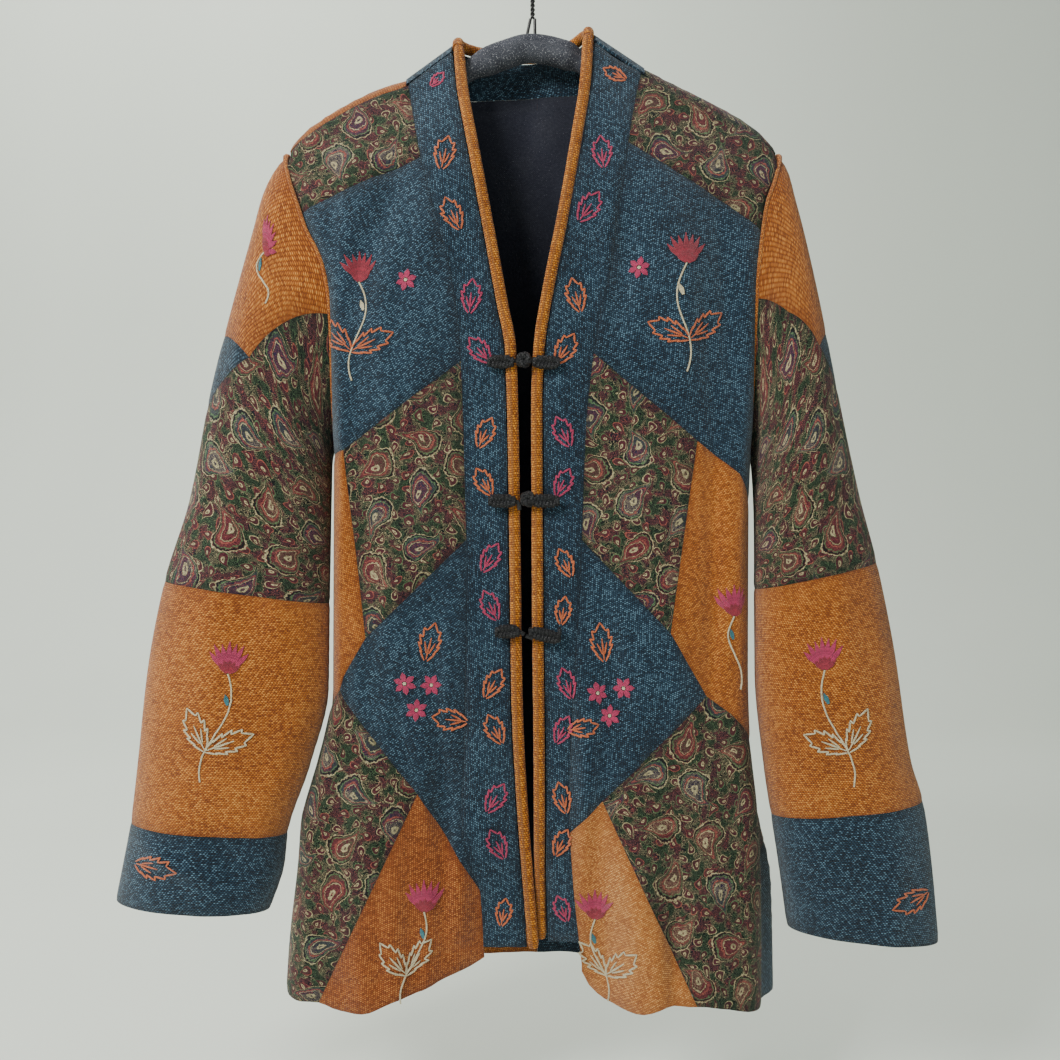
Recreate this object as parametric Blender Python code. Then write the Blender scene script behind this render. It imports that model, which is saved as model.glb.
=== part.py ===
"""Patchwork coat on a padded hanger.

Sizes are in millimetres. X runs to the viewer's right, Y to the back and drop is the distance
below the inner top of the hook, which is the origin. Each patch is outlined in its panel's own
flat coordinates, filled with points, laid on the panel's shape and given the cloth's thickness.
"""

import math
from collections import namedtuple

import bmesh
import bpy
from mathutils import Vector
from mathutils.geometry import delaunay_2d_cdt

MM = 0.001
CLOTH = 2.4
LINING = 1.0
SEAM_GAP = 0.3
SEAM_CUT = 0.2
PIPING = 9.5
# Runs of each front's piping from the foot upwards, with the drop at which each ends.
PIPING_RUNS = (("foot", 640.0), ("middle", 215.0), ("top", 0.0))
SHOULDER_DEEP = 13.5
SHOULDER_TALL = 16.5
SHOULDER_SETTLE = 60.0
BACK_SETTLE = 40.0
SEAM_ANGLE = math.radians(60)
STEP = 36.0
BAND_STEP = 18.0
ROLL_ANGLES = (-25, 10, 45, 90)
TURN_PARTS = (0.0, 0.5)
CURVE_STEP = 20.0
LINE_STEP = 18.0
UNDERARM = 419.0
TIP = 180.0
FOAM_RADIUS = 11.6
FOAM_PRESSED = 8.6
WIRE = 2.6
# How far a frog's middle lies in front of the band it rests on.
FROG_SEAT = 3.6

CLOTHS = {
    "blue": ((0.07, 0.14, 0.2), 0.9),
    "rust": ((0.5, 0.22, 0.07), 0.9),
    "paisley": ((0.06, 0.07, 0.06), 0.9),
    "mustard": ((0.55, 0.25, 0.06), 0.9),
    "navy": ((0.02, 0.025, 0.04), 0.7),
    "cord": ((0.01, 0.01, 0.012), 0.6),
    "foam": ((0.12, 0.13, 0.14), 0.95),
    "wire": ((0.02, 0.02, 0.02), 0.4),
}


def smooth(rows, at):
    """Value of a short table of (place, value) rows at a place, on a curve without overshoot."""
    if at <= rows[0][0]:
        return rows[0][1]
    if at >= rows[-1][0]:
        return rows[-1][1]
    low = max(i for i in range(len(rows) - 1) if rows[i][0] <= at)

    def chord(i):
        """Slope of one stretch."""
        return (rows[i + 1][1] - rows[i][1]) / (rows[i + 1][0] - rows[i][0])

    def slope(i):
        """Slope at one row, none where the curve turns."""
        if i == 0:
            return chord(0)
        if i == len(rows) - 1:
            return chord(i - 1)
        a, b = chord(i - 1), chord(i)
        return 0.0 if a * b <= 0 else 2 * a * b / (a + b)

    (x0, y0), (x1, y1) = rows[low], rows[low + 1]
    h = x1 - x0
    t = (at - x0) / h
    m0, m1 = slope(low) * h, slope(low + 1) * h
    rise = t * t * (3 - 2 * t)
    return y0 + (y1 - y0) * rise + m0 * t * (1 - t) ** 2 - m1 * t * t * (1 - t)


# The shoulder line: place across, drop. Between the collar's crowns it is only a guide.
RIDGE = (
    (-206, 181), (-190, 161), (-161, 141), (-128, 124.5), (-105, 116.5), (-84, 100), (-62, 85),
    (-45, 68), (-25, 52), (-5, 46), (15, 50), (31, 60), (46, 76), (55, 84), (68, 96), (92, 107),
    (106, 115), (139, 131.5), (173, 150), (190, 163), (205, 181),
)
# Drop and place across of the cut lines that run down the fronts.
EDGE_L = ((80, -62), (125, -58), (173, -49.5), (240, -37), (306, -25), (345, -18), (420, -15.7),
          (546, -14), (627, -12.8), (667, -11.3), (710, -8.8), (750, -6), (830, 0.5))
EDGE_R = ((75, 46), (120, 43), (173, 35), (240, 23.4), (306, 10.5), (342, 5), (386, 3), (546, 3.6),
          (668, 4.9), (750, 5.3), (830, 6.8))
BAND_L = ((110, -104.5), (128, -102), (156, -97), (189, -90.5), (241, -77.2), (290, -65),
          (346, -58.4), (434, -55.2), (546, -53), (627, -54.6), (668, -55.6), (725, -58),
          (760, -52), (784, -43), (850, -39.5))
BAND_R = ((105, 91.8), (129, 85.5), (176, 77.2), (265, 64.3), (348, 48.8), (409, 42.4), (495, 39.2),
          (562, 36), (627, 32.1), (711, 29.2), (765, 31.8), (850, 40.3))
# The armhole, and below the underarm the side seam.
SIDE_L = ((150, -204.5), (180, -204), (200, -200), (224, -191.7), (247, -183.5), (262, -175.5),
          (277, -169.8), (300, -165.5), (345, -163.2), (419, -163), (620, -163), (650, -168.5),
          (681, -176.5), (711, -185.5), (727, -189.5), (760, -192), (829, -199.5), (880, -202.5))
SIDE_R = ((150, 204), (180, 203.5), (200, 199), (224, 190.5), (247, 186.5), (262, 184.5),
          (290, 181.5), (345, 179.2), (419, 178.5), (470, 176.5), (600, 175.8), (660, 177.5),
          (720, 183.5), (780, 186.5), (880, 187))
HEM_L = ((-206, 863), (-195, 867), (-172, 867.5), (-154, 872), (-135, 873), (-112, 864.5),
         (-88, 858), (-68, 850), (-50, 845), (-38, 838))
HEM_R = ((38, 846), (45, 861), (61, 871.5), (83, 874), (108, 867), (130, 867.6), (167, 875),
         (190, 883))
HEM_BACK = ((-206, 866), (-150, 862), (-60, 858), (0, 857), (60, 860), (130, 872), (190, 884),
            (212, 885))

# How far in front of the hanger each front lies, by drop: at its edge, at the band's seam, at
# mid panel and at the corner where it turns back to the side, with the width of that turn.
Front = namedtuple("Front", "drop edge seam middle corner turn")
FRONT_L = (
    Front(150, 32, 38, 40, 34, 20), Front(290, 38, 40, 42, 34, 14), Front(430, 40, 41, 43, 38, 11),
    Front(560, 40, 41, 44, 39, 11), Front(640, 36, 38, 43, 40, 12), Front(720, 28, 32, 43, 40, 17),
    Front(790, 22, 24, 46, 38, 18), Front(870, 17, 18, 52, 38, 16),
)
FRONT_R = (
    Front(150, 32, 38, 40, 34, 18), Front(290, 38, 40, 42, 35, 14), Front(430, 40, 41, 43, 40, 12),
    Front(560, 40, 40, 44, 41, 14), Front(640, 37, 38, 44, 40, 18), Front(720, 30, 33, 46, 42, 20),
    Front(790, 23, 25, 50, 44, 22), Front(870, 16, 17, 54, 42, 24),
)
# How far behind the hanger the back lies, by drop: at its middle and its corners, with the width
# of the turn to the side and how far the cloth bellies out past the side seam.
Back = namedtuple("Back", "drop middle corner turn belly_l belly_r")
BACK = (
    Back(120, 27, 24, 18, 0, 0), Back(290, 33, 28, 18, 0, 0), Back(430, 37, 30, 18, 0, 0),
    Back(640, 40, 34, 20, 0, 0), Back(720, 42, 36, 22, 5, 9), Back(790, 43, 38, 22, 6, 21),
    Back(885, 45, 40, 22, 5, 23),
)
# Soft folds, from their top to their bottom: a plus height stands out, a minus one sinks in.
Fold = namedtuple("Fold", "x0 drop0 x1 drop1 width height")
FOLDS_L = (
    Fold(-112, 210, -150, 330, 14, -7), Fold(-150, 240, -158, 420, 8, 5),
    Fold(-78, 640, -66, 770, 12, -8), Fold(-62, 740, -60, 830, 8, 7),
    Fold(-130, 700, -140, 880, 16, 6), Fold(-100, 760, -96, 880, 9, -6),
    Fold(-120, 470, -112, 600, 14, 4),
)
FOLDS_R = (
    Fold(84, 180, 70, 340, 11, -7), Fold(150, 230, 165, 400, 12, -6), Fold(120, 200, 118, 380, 14, 5),
    Fold(146, 440, 142, 620, 9, -6), Fold(44, 600, 40, 800, 8, 6), Fold(78, 700, 84, 880, 16, 7),
    Fold(112, 760, 112, 880, 9, -6), Fold(96, 470, 100, 600, 14, 4),
)
FOLDS_BACK = (
    Fold(-90, 330, -104, 880, 26, 5), Fold(-35, 420, -40, 880, 22, -5), Fold(30, 380, 34, 880, 24, 5),
    Fold(92, 420, 104, 880, 24, -5), Fold(140, 560, 150, 880, 20, 4), Fold(-140, 560, -150, 880, 18, -4),
)

# The band round the back of the neck, from the left shoulder seam to the right one: its inner
# edge, then its seam to the back. An angle above is how far round the shoulder roll it lies.
Neck = namedtuple("Neck", "in_x in_y in_drop out_x out_drop")
ROLL_DROP = 1000
NECK = (
    Neck(-61.8, -11.7, 93.3, -104.5, ROLL_DROP + 60), Neck(-61.9, -6.3, 87.0, -104.5, ROLL_DROP + 28),
    Neck(-61.9, 0.0, 85.0, -104.0, ROLL_DROP), Neck(-57.5, 7.0, 85.5, -101.0, ROLL_DROP - 45),
    Neck(-48.0, 14.0, 86.0, -94.0, 128), Neck(-34.0, 20.0, 86.5, -72.0, 127),
    Neck(-18.0, 24.5, 87.0, -38.0, 124), Neck(-5.0, 25.5, 87.0, -5.0, 122),
    Neck(8.0, 24.5, 86.0, 25.0, 121), Neck(22.0, 20.0, 84.0, 58.0, 119),
    Neck(34.0, 14.0, 80.0, 80.0, 119), Neck(42.0, 7.0, 76.5, 89.0, ROLL_DROP - 45),
    Neck(45.9, 0.0, 76.0, 92.0, ROLL_DROP), Neck(45.9, -6.3, 78.0, 92.0, ROLL_DROP + 28),
    Neck(45.8, -11.7, 84.1, 92.0, ROLL_DROP + 60),
)

# Sleeve sections from the armhole to the cuff: outer point, inner point, middle depth and half
# depth. The sleeve head stands off the armhole's edge by the hug, more where it lies beside it.
Ring = namedtuple("Ring", "out_x out_drop in_x in_drop y deep")
HUG_TOP = 1.5
HUG_UNDER = 1.6
SLEEVE_HEAD = 85.0
SLEEVE_L = (
    Ring(-204.8, 180, -165.9, 419.6, 0, 28), Ring(-214, 192.5, -168, 424, -1, 29),
    Ring(-223, 213, -168, 429, -3, 30), Ring(-230, 242, -167.8, 434, -6, 31),
    Ring(-245, 302, -167, 449, -11, 33), Ring(-262, 375, -166.6, 473, -16, 34),
    Ring(-278, 465, -166.5, 516, -21, 35), Ring(-297.7, 531.5, -166.5, 549.4, -24, 35),
    Ring(-310.9, 604, -167, 618, -26, 35), Ring(-318, 674, -182, 681, -27, 34),
    Ring(-324, 725.5, -200, 735, -27, 33), Ring(-330, 758, -203, 762, -27, 33),
    Ring(-336, 788, -214, 796, -27, 32),
)
SLEEVE_R = (
    Ring(204.3, 180, 181.4, 419.6, 0, 28), Ring(211, 193, 182.5, 425, -1, 29),
    Ring(216, 215.5, 182.6, 431, -4, 30), Ring(222, 243, 182.4, 437.5, -8, 31),
    Ring(233, 301, 182, 455, -15, 33), Ring(245, 372, 181.6, 480, -22, 34),
    Ring(262.5, 462, 180.9, 518, -27, 35), Ring(276, 516, 180.3, 537.5, -29, 35),
    Ring(290, 587, 180.6, 604, -30, 35), Ring(303.4, 675.5, 188, 682, -30, 34),
    Ring(313, 707.5, 193.5, 719, -30, 33), Ring(320, 754, 200, 760, -29, 33),
    Ring(326.5, 821, 207, 810, -28, 32),
)


def fold_height(folds, x, drop):
    """Sum of the folds at one place of a panel."""
    total = 0.0
    for fold in folds:
        along = (drop - fold.drop0) / (fold.drop1 - fold.drop0)
        near = min(max(along, 0.0), 1.0)
        centre = fold.x0 + (fold.x1 - fold.x0) * near
        past = (along - near) * (fold.drop1 - fold.drop0)
        away = ((x - centre) / fold.width) ** 2 + (past / 40.0) ** 2
        total += fold.height * math.sin(math.pi * (0.12 + 0.76 * near)) * math.exp(-away)
    return total


def table(rows, name, drop):
    """One named column of a section table, read at a drop."""
    return smooth([(row.drop, getattr(row, name)) for row in rows], drop)


def shoulder_start(x):
    """Drop at which a panel leaves the shoulder roll."""
    return smooth(RIDGE, x) + SHOULDER_TALL


def roll_drop(x, angle):
    """Flat drop of the line that lies at an angle round the shoulder roll."""
    return shoulder_start(x) - (math.pi / 2 - angle) * SHOULDER_TALL


def over_shoulder(x, drop, depth, settle):
    """Height and depth of the cloth at a flat drop: over the roll first, then down the panel."""
    below = drop - shoulder_start(x)
    if below < 0:
        angle = math.pi / 2 + below / SHOULDER_TALL
        ridge = smooth(RIDGE, x)
        return ridge + SHOULDER_TALL * (1 - math.cos(angle)), SHOULDER_DEEP * math.sin(angle)
    eased = 1 - math.exp(-(below / settle) ** 1.25)
    return drop, SHOULDER_DEEP + (depth - SHOULDER_DEEP) * eased


def armhole_depth(drop):
    """Depth of the armhole's edge before or behind the hanger plane."""
    middle = (TIP + UNDERARM) / 2
    half = (UNDERARM - TIP) / 2
    return 28.0 * math.sqrt(max(0.0, 1 - ((drop - middle) / half) ** 2))


class FrontPanel:
    """One front with its band: flat x follows the front view, and turns back past the corner."""

    def __init__(self, sign, edge, band, side, rows, folds):
        self.sign, self.edge, self.band = sign, edge, band
        self.side, self.rows, self.folds = side, rows, folds

    def corner(self, drop):
        """Place across where the front starts to turn back."""
        return smooth(self.side, drop) - self.sign * table(self.rows, "turn", drop)

    def side_depth(self, drop):
        """Depth of the outer edge: the armhole first, then the side seam."""
        if drop < UNDERARM:
            return armhole_depth(drop)
        return 7.0 * min(1.0, (drop - UNDERARM) / 200)

    def sweep(self, drop):
        """Angle that the turn covers: a slight one beside the sleeve head, square below it."""
        return smooth(((250, 0.5), (340, math.pi / 2)), drop)

    def turn_length(self, drop):
        """Flat width of the turn."""
        across = table(self.rows, "turn", drop)
        deep = max(4.0, table(self.rows, "corner", drop) - self.side_depth(drop))
        if drop < 300:
            return math.hypot(across, 0.6 * deep)
        return math.pi / 2 * math.sqrt((across ** 2 + deep ** 2) / 2)

    def turns(self):
        """The front's one turn, for filling."""
        return [(self.sign, self.corner, self.turn_length)]

    def outer(self, drop):
        """Flat place of the outer edge."""
        return self.corner(drop) + self.sign * self.turn_length(drop)

    def face_depth(self, x, drop):
        """Depth of the face of the front."""
        edge, band, corner = smooth(self.edge, drop), smooth(self.band, drop), self.corner(drop)
        depths = (
            (0.0, table(self.rows, "edge", drop)),
            (abs(band - edge), table(self.rows, "seam", drop)),
            (abs((band + corner) / 2 - edge), table(self.rows, "middle", drop)),
            (abs(corner - edge), table(self.rows, "corner", drop)),
        )
        return smooth(depths, self.sign * (x - edge))

    def point(self, flat, drop):
        """Place in space of a flat point."""
        corner = self.corner(drop)
        past = self.sign * (flat - corner)
        if past <= 0:
            x = flat
            depth = self.face_depth(x, drop)
        else:
            sweep = self.sweep(drop)
            angle = sweep * min(past / self.turn_length(drop), 1.0)
            across = smooth(self.side, drop) - corner
            x = corner + across * math.sin(angle) / math.sin(sweep)
            face = self.face_depth(corner, drop)
            rest = (1 - math.cos(angle)) / (1 - math.cos(sweep))
            depth = face + (self.side_depth(drop) - face) * rest
        drop_now, deep = over_shoulder(x, drop, depth, SHOULDER_SETTLE)
        fade = min(1.0, max(0.0, (drop - shoulder_start(x)) / 50)) * max(0.0, 1 - max(past, 0) / 12)
        deep += fold_height(self.folds, x, drop) * fade
        return Vector((x, -deep, -drop_now))


class BackPanel:
    """The whole back, from the seams in front of the shoulder line to the hem."""

    def side(self, sign, drop):
        """Place across of the outer edge."""
        return smooth(SIDE_L if sign < 0 else SIDE_R, drop)

    def corner(self, sign, drop):
        """Place across where the back starts to turn forward."""
        return self.side(sign, drop) - sign * table(BACK, "turn", drop)

    def side_y(self, drop):
        """Depth of the outer edge."""
        if drop < UNDERARM:
            return armhole_depth(drop)
        return -7.0 * min(1.0, (drop - UNDERARM) / 200)

    def sweep(self, drop):
        """Angle that the turn covers."""
        return smooth(((250, 0.5), (340, math.pi / 2)), drop)

    def turn_length(self, drop):
        """Flat width of the turn."""
        across = table(BACK, "turn", drop)
        deep = max(4.0, table(BACK, "corner", drop) - self.side_y(drop))
        if drop < 300:
            return math.hypot(across, 0.6 * deep)
        return math.pi / 2 * math.sqrt((across ** 2 + deep ** 2) / 2)

    def turns(self):
        """The back's two turns, for filling."""
        return [(-1, self.left_corner, self.turn_length), (1, self.right_corner, self.turn_length)]

    def left_corner(self, drop):
        """Place across of the left corner."""
        return self.corner(-1, drop)

    def right_corner(self, drop):
        """Place across of the right corner."""
        return self.corner(1, drop)

    def outer(self, sign, drop):
        """Flat place of an outer edge."""
        return self.corner(sign, drop) + sign * self.turn_length(drop)

    def point(self, flat, drop):
        """Place in space of a flat point."""
        sign = -1 if flat < 0 else 1
        corner = self.corner(sign, drop)
        past = sign * (flat - corner)
        middle, edge = table(BACK, "middle", drop), table(BACK, "corner", drop)
        inward = min(abs(flat / corner), 1.0)
        face = middle + (edge - middle) * inward ** 2
        x, depth = flat, face
        if past > 0:
            sweep = self.sweep(drop)
            angle = sweep * min(past / self.turn_length(drop), 1.0)
            across = self.side(sign, drop) - corner
            belly = table(BACK, "belly_l" if sign < 0 else "belly_r", drop)
            part = angle / sweep
            x = corner + across * math.sin(angle) / math.sin(sweep)
            x += sign * belly * math.sin(math.pi * part) ** 2
            depth = face + (self.side_y(drop) - face) * (1 - math.cos(angle)) / (1 - math.cos(sweep))
        drop_now, deep = over_shoulder(x, drop, depth, BACK_SETTLE)
        fade = min(1.0, max(0.0, (drop - shoulder_start(x)) / 80)) * max(0.0, 1 - max(past, 0) / 15)
        deep += fold_height(FOLDS_BACK, x, drop) * fade
        return Vector((x, deep, -drop_now))


class Sleeve:
    """One sleeve: flat across is the turn round it, from the outer line by the front, in mm."""

    ROUND = 300.0

    def __init__(self, rings):
        self.rings = rings
        self.sign = -1 if rings[0].out_x < 0 else 1
        self.lengths = [0.0]
        middles = [((r.out_x + r.in_x) / 2, (r.out_drop + r.in_drop) / 2) for r in rings]
        for one, two in zip(middles, middles[1:]):
            self.lengths.append(self.lengths[-1] + math.dist(one, two))

    def column(self, name, along):
        """One named column of the sections, read at a length down the sleeve."""
        return smooth([(l, getattr(r, name)) for l, r in zip(self.lengths, self.rings)], along)

    def armhole_shift(self, angle):
        """How far the armhole line lies from the plain first section, beside the body's edge."""
        first = self.rings[0]
        cos = math.cos(angle)
        x = (first.out_x + first.in_x) / 2 + (first.out_x - first.in_x) / 2 * cos
        drop = (first.out_drop + first.in_drop) / 2 + (first.out_drop - first.in_drop) / 2 * cos
        hug = HUG_TOP + HUG_UNDER * max(0.0, (1 - cos) / 2) ** 2
        return smooth(SIDE_L if self.sign < 0 else SIDE_R, drop) + self.sign * hug - x

    def point(self, flat, along):
        """Place in space of a flat point."""
        angle = 2 * math.pi * flat / self.ROUND
        cos, sin = math.cos(angle), math.sin(angle)
        value = {n: self.column(n, along) for n in Ring._fields}
        x = (value["out_x"] + value["in_x"]) / 2 + (value["out_x"] - value["in_x"]) / 2 * cos
        drop = (value["out_drop"] + value["in_drop"]) / 2
        drop += (value["out_drop"] - value["in_drop"]) / 2 * cos
        x += self.armhole_shift(angle) * max(0.0, 1 - along / SLEEVE_HEAD) ** 2
        return Vector((x, value["y"] - value["deep"] * sin, -drop))


FRONTS = {
    "l": FrontPanel(-1, EDGE_L, BAND_L, SIDE_L, FRONT_L, FOLDS_L),
    "r": FrontPanel(1, EDGE_R, BAND_R, SIDE_R, FRONT_R, FOLDS_R),
}
BACK_PANEL = BackPanel()
SLEEVES = {"l": Sleeve(SLEEVE_L), "r": Sleeve(SLEEVE_R)}


def line(start, end, step=LINE_STEP):
    """Points from one flat place to another, without the last."""
    count = max(1, round(math.dist(start, end) / step))
    return [tuple(a + (b - a) * i / count for a, b in zip(start, end)) for i in range(count)]


def along_curve(across, drop0, drop1):
    """Points down or up a curve that gives the place across for a drop, without the last."""
    drops = [d for d in cut_drops() if min(drop0, drop1) + 2 < d < max(drop0, drop1) - 2]
    if drop1 < drop0:
        drops.reverse()
    return [(across(d), d) for d in [drop0] + drops]


def cut_drops():
    """Drops at which every curve that runs down the coat has a point, so that seams meet."""
    stops = set()
    for cut in FRONT_CUTS.values():
        stops |= {cut["chest"][0], cut["chest"][1], cut["waist"][0], cut["waist"][2], cut["hip"][0]}
        stops |= {cut["gore"][1], cut["low"][0]}
    for sides in BACK_STOPS.values():
        stops |= set(sides)
    even = [60 + CURVE_STEP * i for i in range(50)]
    return sorted(stops | {d for d in even if min(abs(d - stop) for stop in stops) > 6})


def along_hem(hem, x0, x1, step=CURVE_STEP):
    """Points along a hem, without the last."""
    count = max(1, round(abs(x1 - x0) / step))
    return [(x0 + (x1 - x0) * i / count, smooth(hem, x0 + (x1 - x0) * i / count)) for i in range(count)]


def along_roll(angle, x0, x1, step=STEP):
    """Points along the shoulder at one angle round its roll, without the last."""
    stops = [-200 + step * i for i in range(21)]
    inside = [x for x in stops if min(x0, x1) + 3 < x < max(x0, x1) - 3]
    if x1 < x0:
        inside.reverse()
    return [(x, roll_drop(x, angle)) for x in [x0] + inside]


def inset(outline, by):
    """Move each side of a closed outline inwards."""
    area = sum(a[0] * b[1] - b[0] * a[1] for a, b in zip(outline, outline[1:] + outline[:1]))
    turn = 1 if area > 0 else -1
    moved = []
    for i, here in enumerate(outline):
        before, after = outline[i - 1], outline[(i + 1) % len(outline)]
        normals = []
        for a, b in ((before, here), (here, after)):
            size = math.dist(a, b)
            normals.append((-(b[1] - a[1]) / size * turn, (b[0] - a[0]) / size * turn))
        nx, ny = normals[0][0] + normals[1][0], normals[0][1] + normals[1][1]
        size = max(0.35, (nx * nx + ny * ny) / 2)
        moved.append((here[0] + nx * by / size, here[1] + ny * by / size))
    return moved


def lattice(outline, across, down, shift=0.0):
    """Evenly spaced points inside a flat outline, every other row moved along by the shift."""
    left, right = min(p[0] for p in outline), max(p[0] for p in outline)
    top, bottom = min(p[1] for p in outline), max(p[1] for p in outline)
    spots = []
    for row in range(math.floor(top / down), math.ceil(bottom / down) + 1):
        for col in range(math.floor(left / across) - 1, math.ceil(right / across) + 1):
            spot = Vector((col * across + shift * (row % 2), row * down))
            if inside(spot, outline) and border(spot, outline) > 0.45 * across:
                spots.append(spot)
    return spots


def triangles(outline, spots):
    """Triangles between a closed outline and the points inside it, with the outline's first."""
    edges = [(i, (i + 1) % len(outline)) for i in range(len(outline))]
    points = [Vector(p) for p in outline] + spots
    verts, _, faces, _, _, _ = delaunay_2d_cdt(points, edges, [], 1, 1e-5)
    return [tuple(v) for v in verts], [list(f) for f in faces]


def filled(outline, step, turns):
    """Triangles that fill a flat outline of a panel, with rows of points along its turns and roll.

    A turn gives the side it is on, the flat place of its corner and its width at a drop.
    """
    spots = []
    for spot in lattice(outline, step, step * 0.87, step / 2):
        clear = spot.y > shoulder_start(spot.x) + 0.4 * step
        if clear and all(sign * (spot.x - corner(spot.y)) < -0.35 * step for sign, corner, _ in turns):
            spots.append(spot)
    for sign, corner, width in turns:
        for drop in cut_drops():
            for part in TURN_PARTS:
                spot = Vector((corner(drop) + sign * width(drop) * part, drop))
                clear = drop > shoulder_start(spot.x) + 0.3 * step
                if clear and inside(spot, outline) and border(spot, outline) > 4.0:
                    spots.append(spot)
    left, right = min(p[0] for p in outline), max(p[0] for p in outline)
    for angle in ROLL_ANGLES:
        for col in range(math.floor(left / step) - 1, math.ceil(right / step) + 1):
            spot = Vector((col * step, roll_drop(col * step, math.radians(angle))))
            if inside(spot, outline) and border(spot, outline) > 3.5:
                spots.append(spot)
    return triangles(outline, spots)


def inside(spot, outline):
    """True where a spot lies inside a closed outline."""
    x, y = spot
    odd = False
    for (x0, y0), (x1, y1) in zip(outline, outline[1:] + outline[:1]):
        if (y0 > y) != (y1 > y) and x < (x1 - x0) * (y - y0) / (y1 - y0) + x0:
            odd = not odd
    return odd


def border(spot, outline):
    """Distance from a spot to a closed outline."""
    best = 1e9
    for (x0, y0), (x1, y1) in zip(outline, outline[1:] + outline[:1]):
        dx, dy = x1 - x0, y1 - y0
        t = min(max(((spot[0] - x0) * dx + (spot[1] - y0) * dy) / (dx * dx + dy * dy), 0), 1)
        best = min(best, math.dist(spot, (x0 + t * dx, y0 + t * dy)))
    return best


def normal_at(place, flat, drop):
    """Direction square to a shape at a flat point."""
    d = 1.0
    across = place(flat + d, drop) - place(flat - d, drop)
    down = place(flat, drop + d) - place(flat, drop - d)
    return across.cross(down).normalized()


def material(cloth):
    """Plain material in one of the coat's colours."""
    found = bpy.data.materials.get(cloth)
    if found:
        return found
    colour, roughness = CLOTHS[cloth]
    made = bpy.data.materials.new(cloth)
    made.use_nodes = True
    shader = made.node_tree.nodes["Principled BSDF"]
    shader.inputs["Base Color"].default_value = (*colour, 1.0)
    shader.inputs["Roughness"].default_value = roughness
    shader.inputs["Metallic"].default_value = 1.0 if cloth == "wire" else 0.0
    return made


def make_object(name, verts, faces, cloth):
    """Named object from millimetre points, with its faces turned outwards."""
    mesh = bpy.data.meshes.new(name)
    mesh.from_pydata([v * MM for v in verts], [], faces)
    made = bpy.data.objects.new(name, mesh)
    bpy.context.scene.collection.objects.link(made)
    body = bmesh.new()
    body.from_mesh(mesh)
    bmesh.ops.triangulate(body, faces=[f for f in body.faces if len(f.verts) > 4])
    bmesh.ops.recalc_face_normals(body, faces=body.faces)
    body.to_mesh(mesh)
    body.free()
    mesh.materials.append(material(cloth))
    mesh.shade_smooth()
    mesh.set_sharp_from_angle(angle=math.radians(45))
    return made


# Direction that orders the two ends of a rim's side, along no seam of the coat.
RIM_ORDER = Vector((1.0, 0.0, 0.37))


def rim(a, b, count, start, end):
    """Two triangles of a wall's edge, split the same way in both pieces that meet at a seam."""
    if (start - end).dot(RIM_ORDER) < 0:
        return [(a, b, b + count), (a, b + count, a + count)]
    return [(a, b, a + count), (b, b + count, a + count)]


def walled(name, place, flat_points, faces, cloth, thick=CLOTH, lift=0.0):
    """Closed wall of cloth on a shape, with its middle lifted towards the wearer's outside."""
    mids = [place(*p) for p in flat_points]
    normals = [normal_at(place, *p) for p in flat_points]
    count = len(mids)
    verts = [m + n * (lift + thick / 2) for m, n in zip(mids, normals)]
    verts += [m + n * (lift - thick / 2) for m, n in zip(mids, normals)]
    sides = {}
    for face in faces:
        for a, b in zip(face, face[1:] + face[:1]):
            sides[(a, b)] = True
    walls = []
    for a, b in [side for side in sides if (side[1], side[0]) not in sides]:
        walls += rim(a, b, count, mids[a], mids[b])
    shell = [tuple(f) for f in faces] + [tuple(v + count for v in reversed(f)) for f in faces] + walls
    return make_object(name, verts, shell, cloth)


def patch(name, panel, outline, cloth, step=STEP):
    """One patch of a panel, cut a little inside its seams."""
    points, faces = filled(outline, step, panel.turns())
    trimmed = inset(outline, SEAM_CUT) + points[len(outline):]
    walled(name, panel.point, trimmed, faces, cloth)
    return points, faces


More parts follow.
